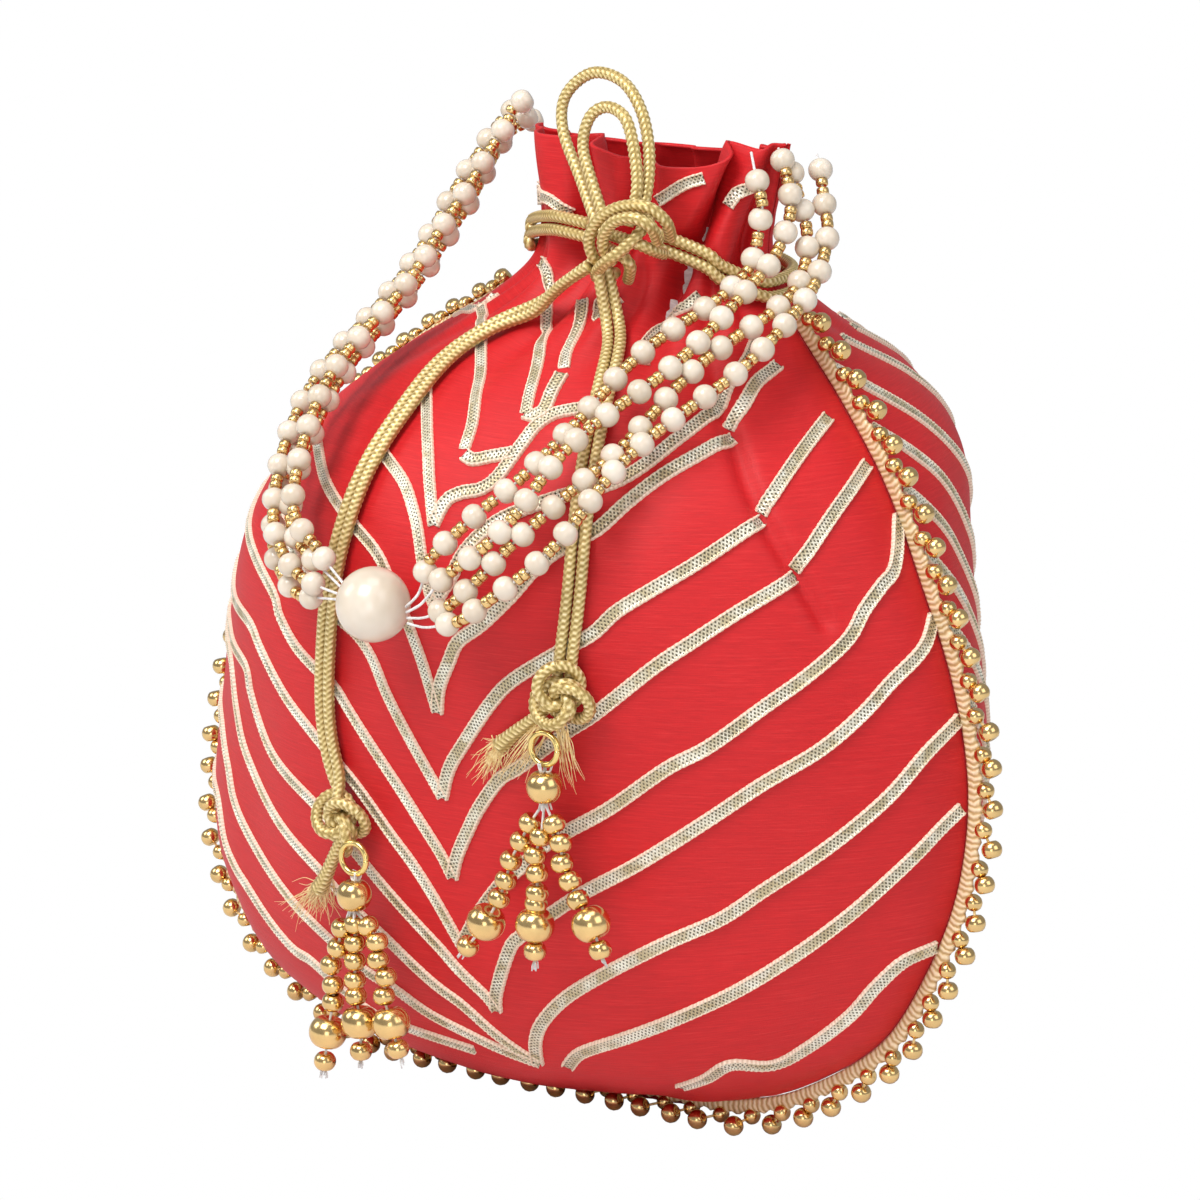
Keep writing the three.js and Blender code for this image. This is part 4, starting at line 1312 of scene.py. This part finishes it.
def make_bead_strand(centres):
    """Small beads with one big bead before the last."""
    shape = Shape()
    for order, centre in enumerate(centres):
        before, after = centres[max(order - 1, 0)], centres[min(order + 1, len(centres) - 1)]
        big = order == len(centres) - 2
        tilt = Vector([rng.uniform(-0.12, 0.12) for _ in range(3)])
        axis = ((after - before).normalized() + tilt).normalized()
        fine = 24 if big else 14
        shape.ball(centre, (BIG_BEAD if big else SMALL_BEAD) / 2 * MM, fine, fine + 8, axis, 0.95, 0.3)
    return shape


def make_tassel(side, ring, strands):
    body = f"{side}_tassel"
    shape = Shape()
    angles = np.linspace(0, 2 * math.pi, 60)
    circle = [ring + RING_RADIUS * Vector((math.cos(a), 0, math.sin(a))) for a in angles]
    shape.tube([p * MM for p in circle], RING_WIRE * MM, 14)
    finish_piece(shape.piece(f"{side}_jump_ring"), RING, body, "gold_beads", f"{body}_ring")

    cap = (ring - Vector((0, 0, CAP_DROP))) * MM
    shape = Shape()
    shape.ball(cap, CAP_DIAMETER / 2 * MM, 24, 32, hole=0.25)
    finish_piece(shape.piece(f"{side}_cap"), BEAD, body, "gold_beads", f"{body}_cap_bead")

    white = Shape()
    make_cap_threads(white, cap)
    bottom = cap - Vector((0, 0, CAP_THREAD_RISE * MM))
    for index, pixels in enumerate(strands, 1):
        centres = [on_depth(x, y, cap.y) for x, y in pixels]
        strand = make_bead_strand(centres).piece(f"{side}_bead_strand_{index}")
        finish_piece(strand, BEAD, body, "gold_beads", f"{body}_bead_strand_{index}")
        white.tube(smooth_line([bottom, *centres], 1 * MM), THREAD_RADIUS * MM, 6)
        make_end_threads(white, centres[-1], (centres[-1] - centres[-2]).normalized())
    finish_piece(white.piece(f"{side}_tassel_threads"), WHITE_THREAD, body, "gold_beads")


for side, parts in TASSELS.items():
    make_tassel(side, parts["ring"], parts["strands"])


# Handle
PEARL_DIAMETER = 5.3
SEED_DIAMETER = 2.7
SEED_LENGTH = 1.55
SEED_SHIFT = 0.02
PEARL_PITCH = 8.4
LARGE_PEARL = Vector((0.7, -82.7, 123.4))
LARGE_PEARL_DIAMETER = 16
STRAND_SWAY = 1.1
# The strands fan out from the large pearl: over this share of their length, from this tightness
FAN_SHARE = 0.09
FAN_TIGHT = 0.22
# A pearl at every fifth stop, and a seed at the third and the fourth
STOPS = 5
HANDLE_LEFT = [
    (-28.6, 13, 216.2), (-32, 10, 213.5), (-34, 2, 204), (-35.2, -6, 194.5), (-38, -14, 183.5),
    (-40.5, -23, 174.5), (-41, -33, 168.5), (-41.6, -42.5, 160.8), (-40.8, -51, 151.8), (-39.2, -57.8, 142.8),
    (-36, -62.8, 135.2), (-28.5, -66.8, 128.8), (-15.3, -70.1, 124.5),
]
HANDLE_RIGHT = [
    (1.5, -70.6, 122.2), (6.6, -70, 124), (13.5, -69.2, 129.8), (20.5, -66, 136.3), (27, -60.5, 144.6),
    (31.5, -53.5, 152.6), (35.5, -45.5, 159.4), (39.5, -37, 166.2), (43, -28.6, 172.4), (46, -20, 178),
    (48.5, -11, 183.5), (49.5, -3, 189), (48.4, 3, 198), (45.2, 5.5, 206.5), (41.8, 7.6, 212.4),
]
# Each strand: its order across, the spacing and lift in millimetres, and where its beads start
LEFT_STRANDS = [(-1.5, 4.2, 0.2, 9.5), (-0.5, 4.2, 3.4, 8.5), (0.5, 4.2, 0.4, 12), (1.5, 4.2, 3.2, 9)]
RIGHT_STRANDS = [(-1.5, 5.2, 1.2, 9), (-0.5, 5.2, 2.8, 12.5), (0.5, 5.2, 1, 8.5), (1.5, 5.2, 2.4, 10.5)]


def strand_line(points, order, spacing, lift):
    """One strand's line from the large pearl to its end at the rim."""
    middle = smooth_line(route(points), 2 * MM)
    total, line = len(middle) - 1, []
    for step, (point, tangent) in enumerate(zip(middle, tangents(middle))):
        fan = FAN_TIGHT + (1 - FAN_TIGHT) * min(1, step / total / FAN_SHARE)
        outward = (point - BAG_HEART * MM).normalized()
        aside = tangent.cross(outward).normalized()
        sway = STRAND_SWAY * math.sin(0.23 * step + 2.7 * order) * min(1, 5 * step / total)
        rise = lift * min(1, 6 * step / total)
        line.append(point + (aside * (order * spacing * fan + sway) + outward * rise) * MM)
    return smooth_line(line[::2] + [line[-1]], 0.5 * MM)


def walk(line, start, pitch):
    """Points and directions every pitch along a line."""
    along, distance, goal, stops = tangents(line), 0.0, start, []
    for step in range(1, len(line)):
        distance += (line[step] - line[step - 1]).length / MM
        if distance >= goal:
            stops.append((line[step], along[step]))
            goal += pitch
    return stops


def make_handle_half(side, points, strands):
    for index, (order, spacing, lift, start) in enumerate(strands, 1):
        line = strand_line(points, order, spacing, lift)
        pearls, seeds, thread = Shape(), Shape(), Shape()
        stops = walk(line, start, PEARL_PITCH / STOPS)
        for stop, (spot, axis) in enumerate(stops[:len(stops) - (len(stops) - 1) % STOPS]):
            if stop % STOPS == 0:
                pearls.ball(spot, PEARL_DIAMETER / 2 * MM, 14, 20, axis, 0.97, 0.12)
            elif stop % STOPS in (2, 3):
                shift = SEED_SHIFT if stop % STOPS == 3 else -SEED_SHIFT
                centre = spot + axis * (shift * MM)
                seeds.barrel(centre, SEED_DIAMETER / 2 * MM, SEED_LENGTH * MM, axis)
        thread.tube(line[::2], THREAD_RADIUS * MM, 6)
        name = f"handle_{side}_strand_{index}"
        finish_piece(pearls.piece(f"{name}_pearls"), PEARL_BEAD, "handle", "pearls", name)
        finish_piece(seeds.piece(f"{name}_seeds"), SEED, "handle", "gold_beads")
        finish_piece(thread.piece(f"{name}_thread"), WHITE_THREAD, "handle", "pearls")


def make_large_pearl():
    shape = Shape()
    axis = Vector((0.9, -0.1, 0.1)).normalized()
    shape.ball(LARGE_PEARL * MM, LARGE_PEARL_DIAMETER / 2 * MM, 32, 48, axis, 0.98, 0.06)
    finish_piece(shape.piece("large_pearl"), PEARL_BEAD, "handle", "pearls", "handle_large_pearl")


make_handle_half("left", HANDLE_LEFT[::-1], LEFT_STRANDS)
make_handle_half("right", HANDLE_RIGHT, RIGHT_STRANDS)
make_large_pearl()


# Lights, floor and background

# Each light's name, azimuth and elevation in degrees, distance and size in metres, and watts
LIGHTS = [
    ("key", 0, 50, 1.2, 0.6, 11.5), ("fill", 85, 30, 1.3, 0.8, 3.4), ("top", 36, 82, 1.2, 0.6, 3),
    ("left_rim", -60, 30, 1.2, 0.5, 3), ("low_front", 30, 6, 1.4, 0.5, 2),
]
FLOOR_REACH = 3


def make_light(name, azimuth, elevation, distance, size, power):
    data = bpy.data.lights.new(name, "AREA")
    data.energy, data.size = power, size
    light = bpy.data.objects.new(name, data)
    bpy.context.scene.collection.objects.link(light)
    a, e = math.radians(azimuth), math.radians(elevation)
    away = Vector((math.sin(a) * math.cos(e), -math.cos(a) * math.cos(e), math.sin(e)))
    light.location = CAMERA_TARGET + distance * away
    light.rotation_euler = away.to_track_quat("Z", "Y").to_euler()


for settings in LIGHTS:
    make_light(*settings)


def seen_white(tree, other):
    """White where the camera sees it, and another shader for all other rays."""
    path = tree.nodes.new("ShaderNodeLightPath")
    white = tree.nodes.new("ShaderNodeEmission" if other.type == "SHADER" else "ShaderNodeBackground")
    white.inputs["Color"].default_value = (1, 1, 1, 1)
    white.inputs["Strength"].default_value = 1
    mix = tree.nodes.new("ShaderNodeMixShader")
    tree.links.new(path.outputs["Is Camera Ray"], mix.inputs[0])
    tree.links.new(other, mix.inputs[1])
    tree.links.new(white.outputs[0], mix.inputs[2])
    return mix.outputs[0]


def make_floor():
    corners = [(x * FLOOR_REACH, y * FLOOR_REACH, 0) for x, y in ((-1, -1), (1, -1), (1, 1), (-1, 1))]
    floor = make_object("floor", corners, [(0, 1, 2, 3)], smooth=False)
    net = Net("floor")
    net.set(Base_Color=(0.8, 0.8, 0.8), Roughness=0.8)
    shown = seen_white(net.tree, net.shader.outputs[0])
    net.tree.links.new(shown, net.tree.nodes["Material Output"].inputs["Surface"])
    floor.data.materials.append(net.material)


def make_world():
    world = bpy.data.worlds.new("studio")
    bpy.context.scene.world = world
    world.use_nodes = True
    tree = world.node_tree
    background = tree.nodes["Background"]
    background.inputs["Color"].default_value = (0.92, 0.94, 1, 1)
    background.inputs["Strength"].default_value = 0.4
    shown = seen_white(tree, background.outputs[0])
    tree.links.new(shown, tree.nodes["World Output"].inputs["Surface"])


make_floor()
make_world()
bpy.context.scene.view_settings.view_transform = "Standard"
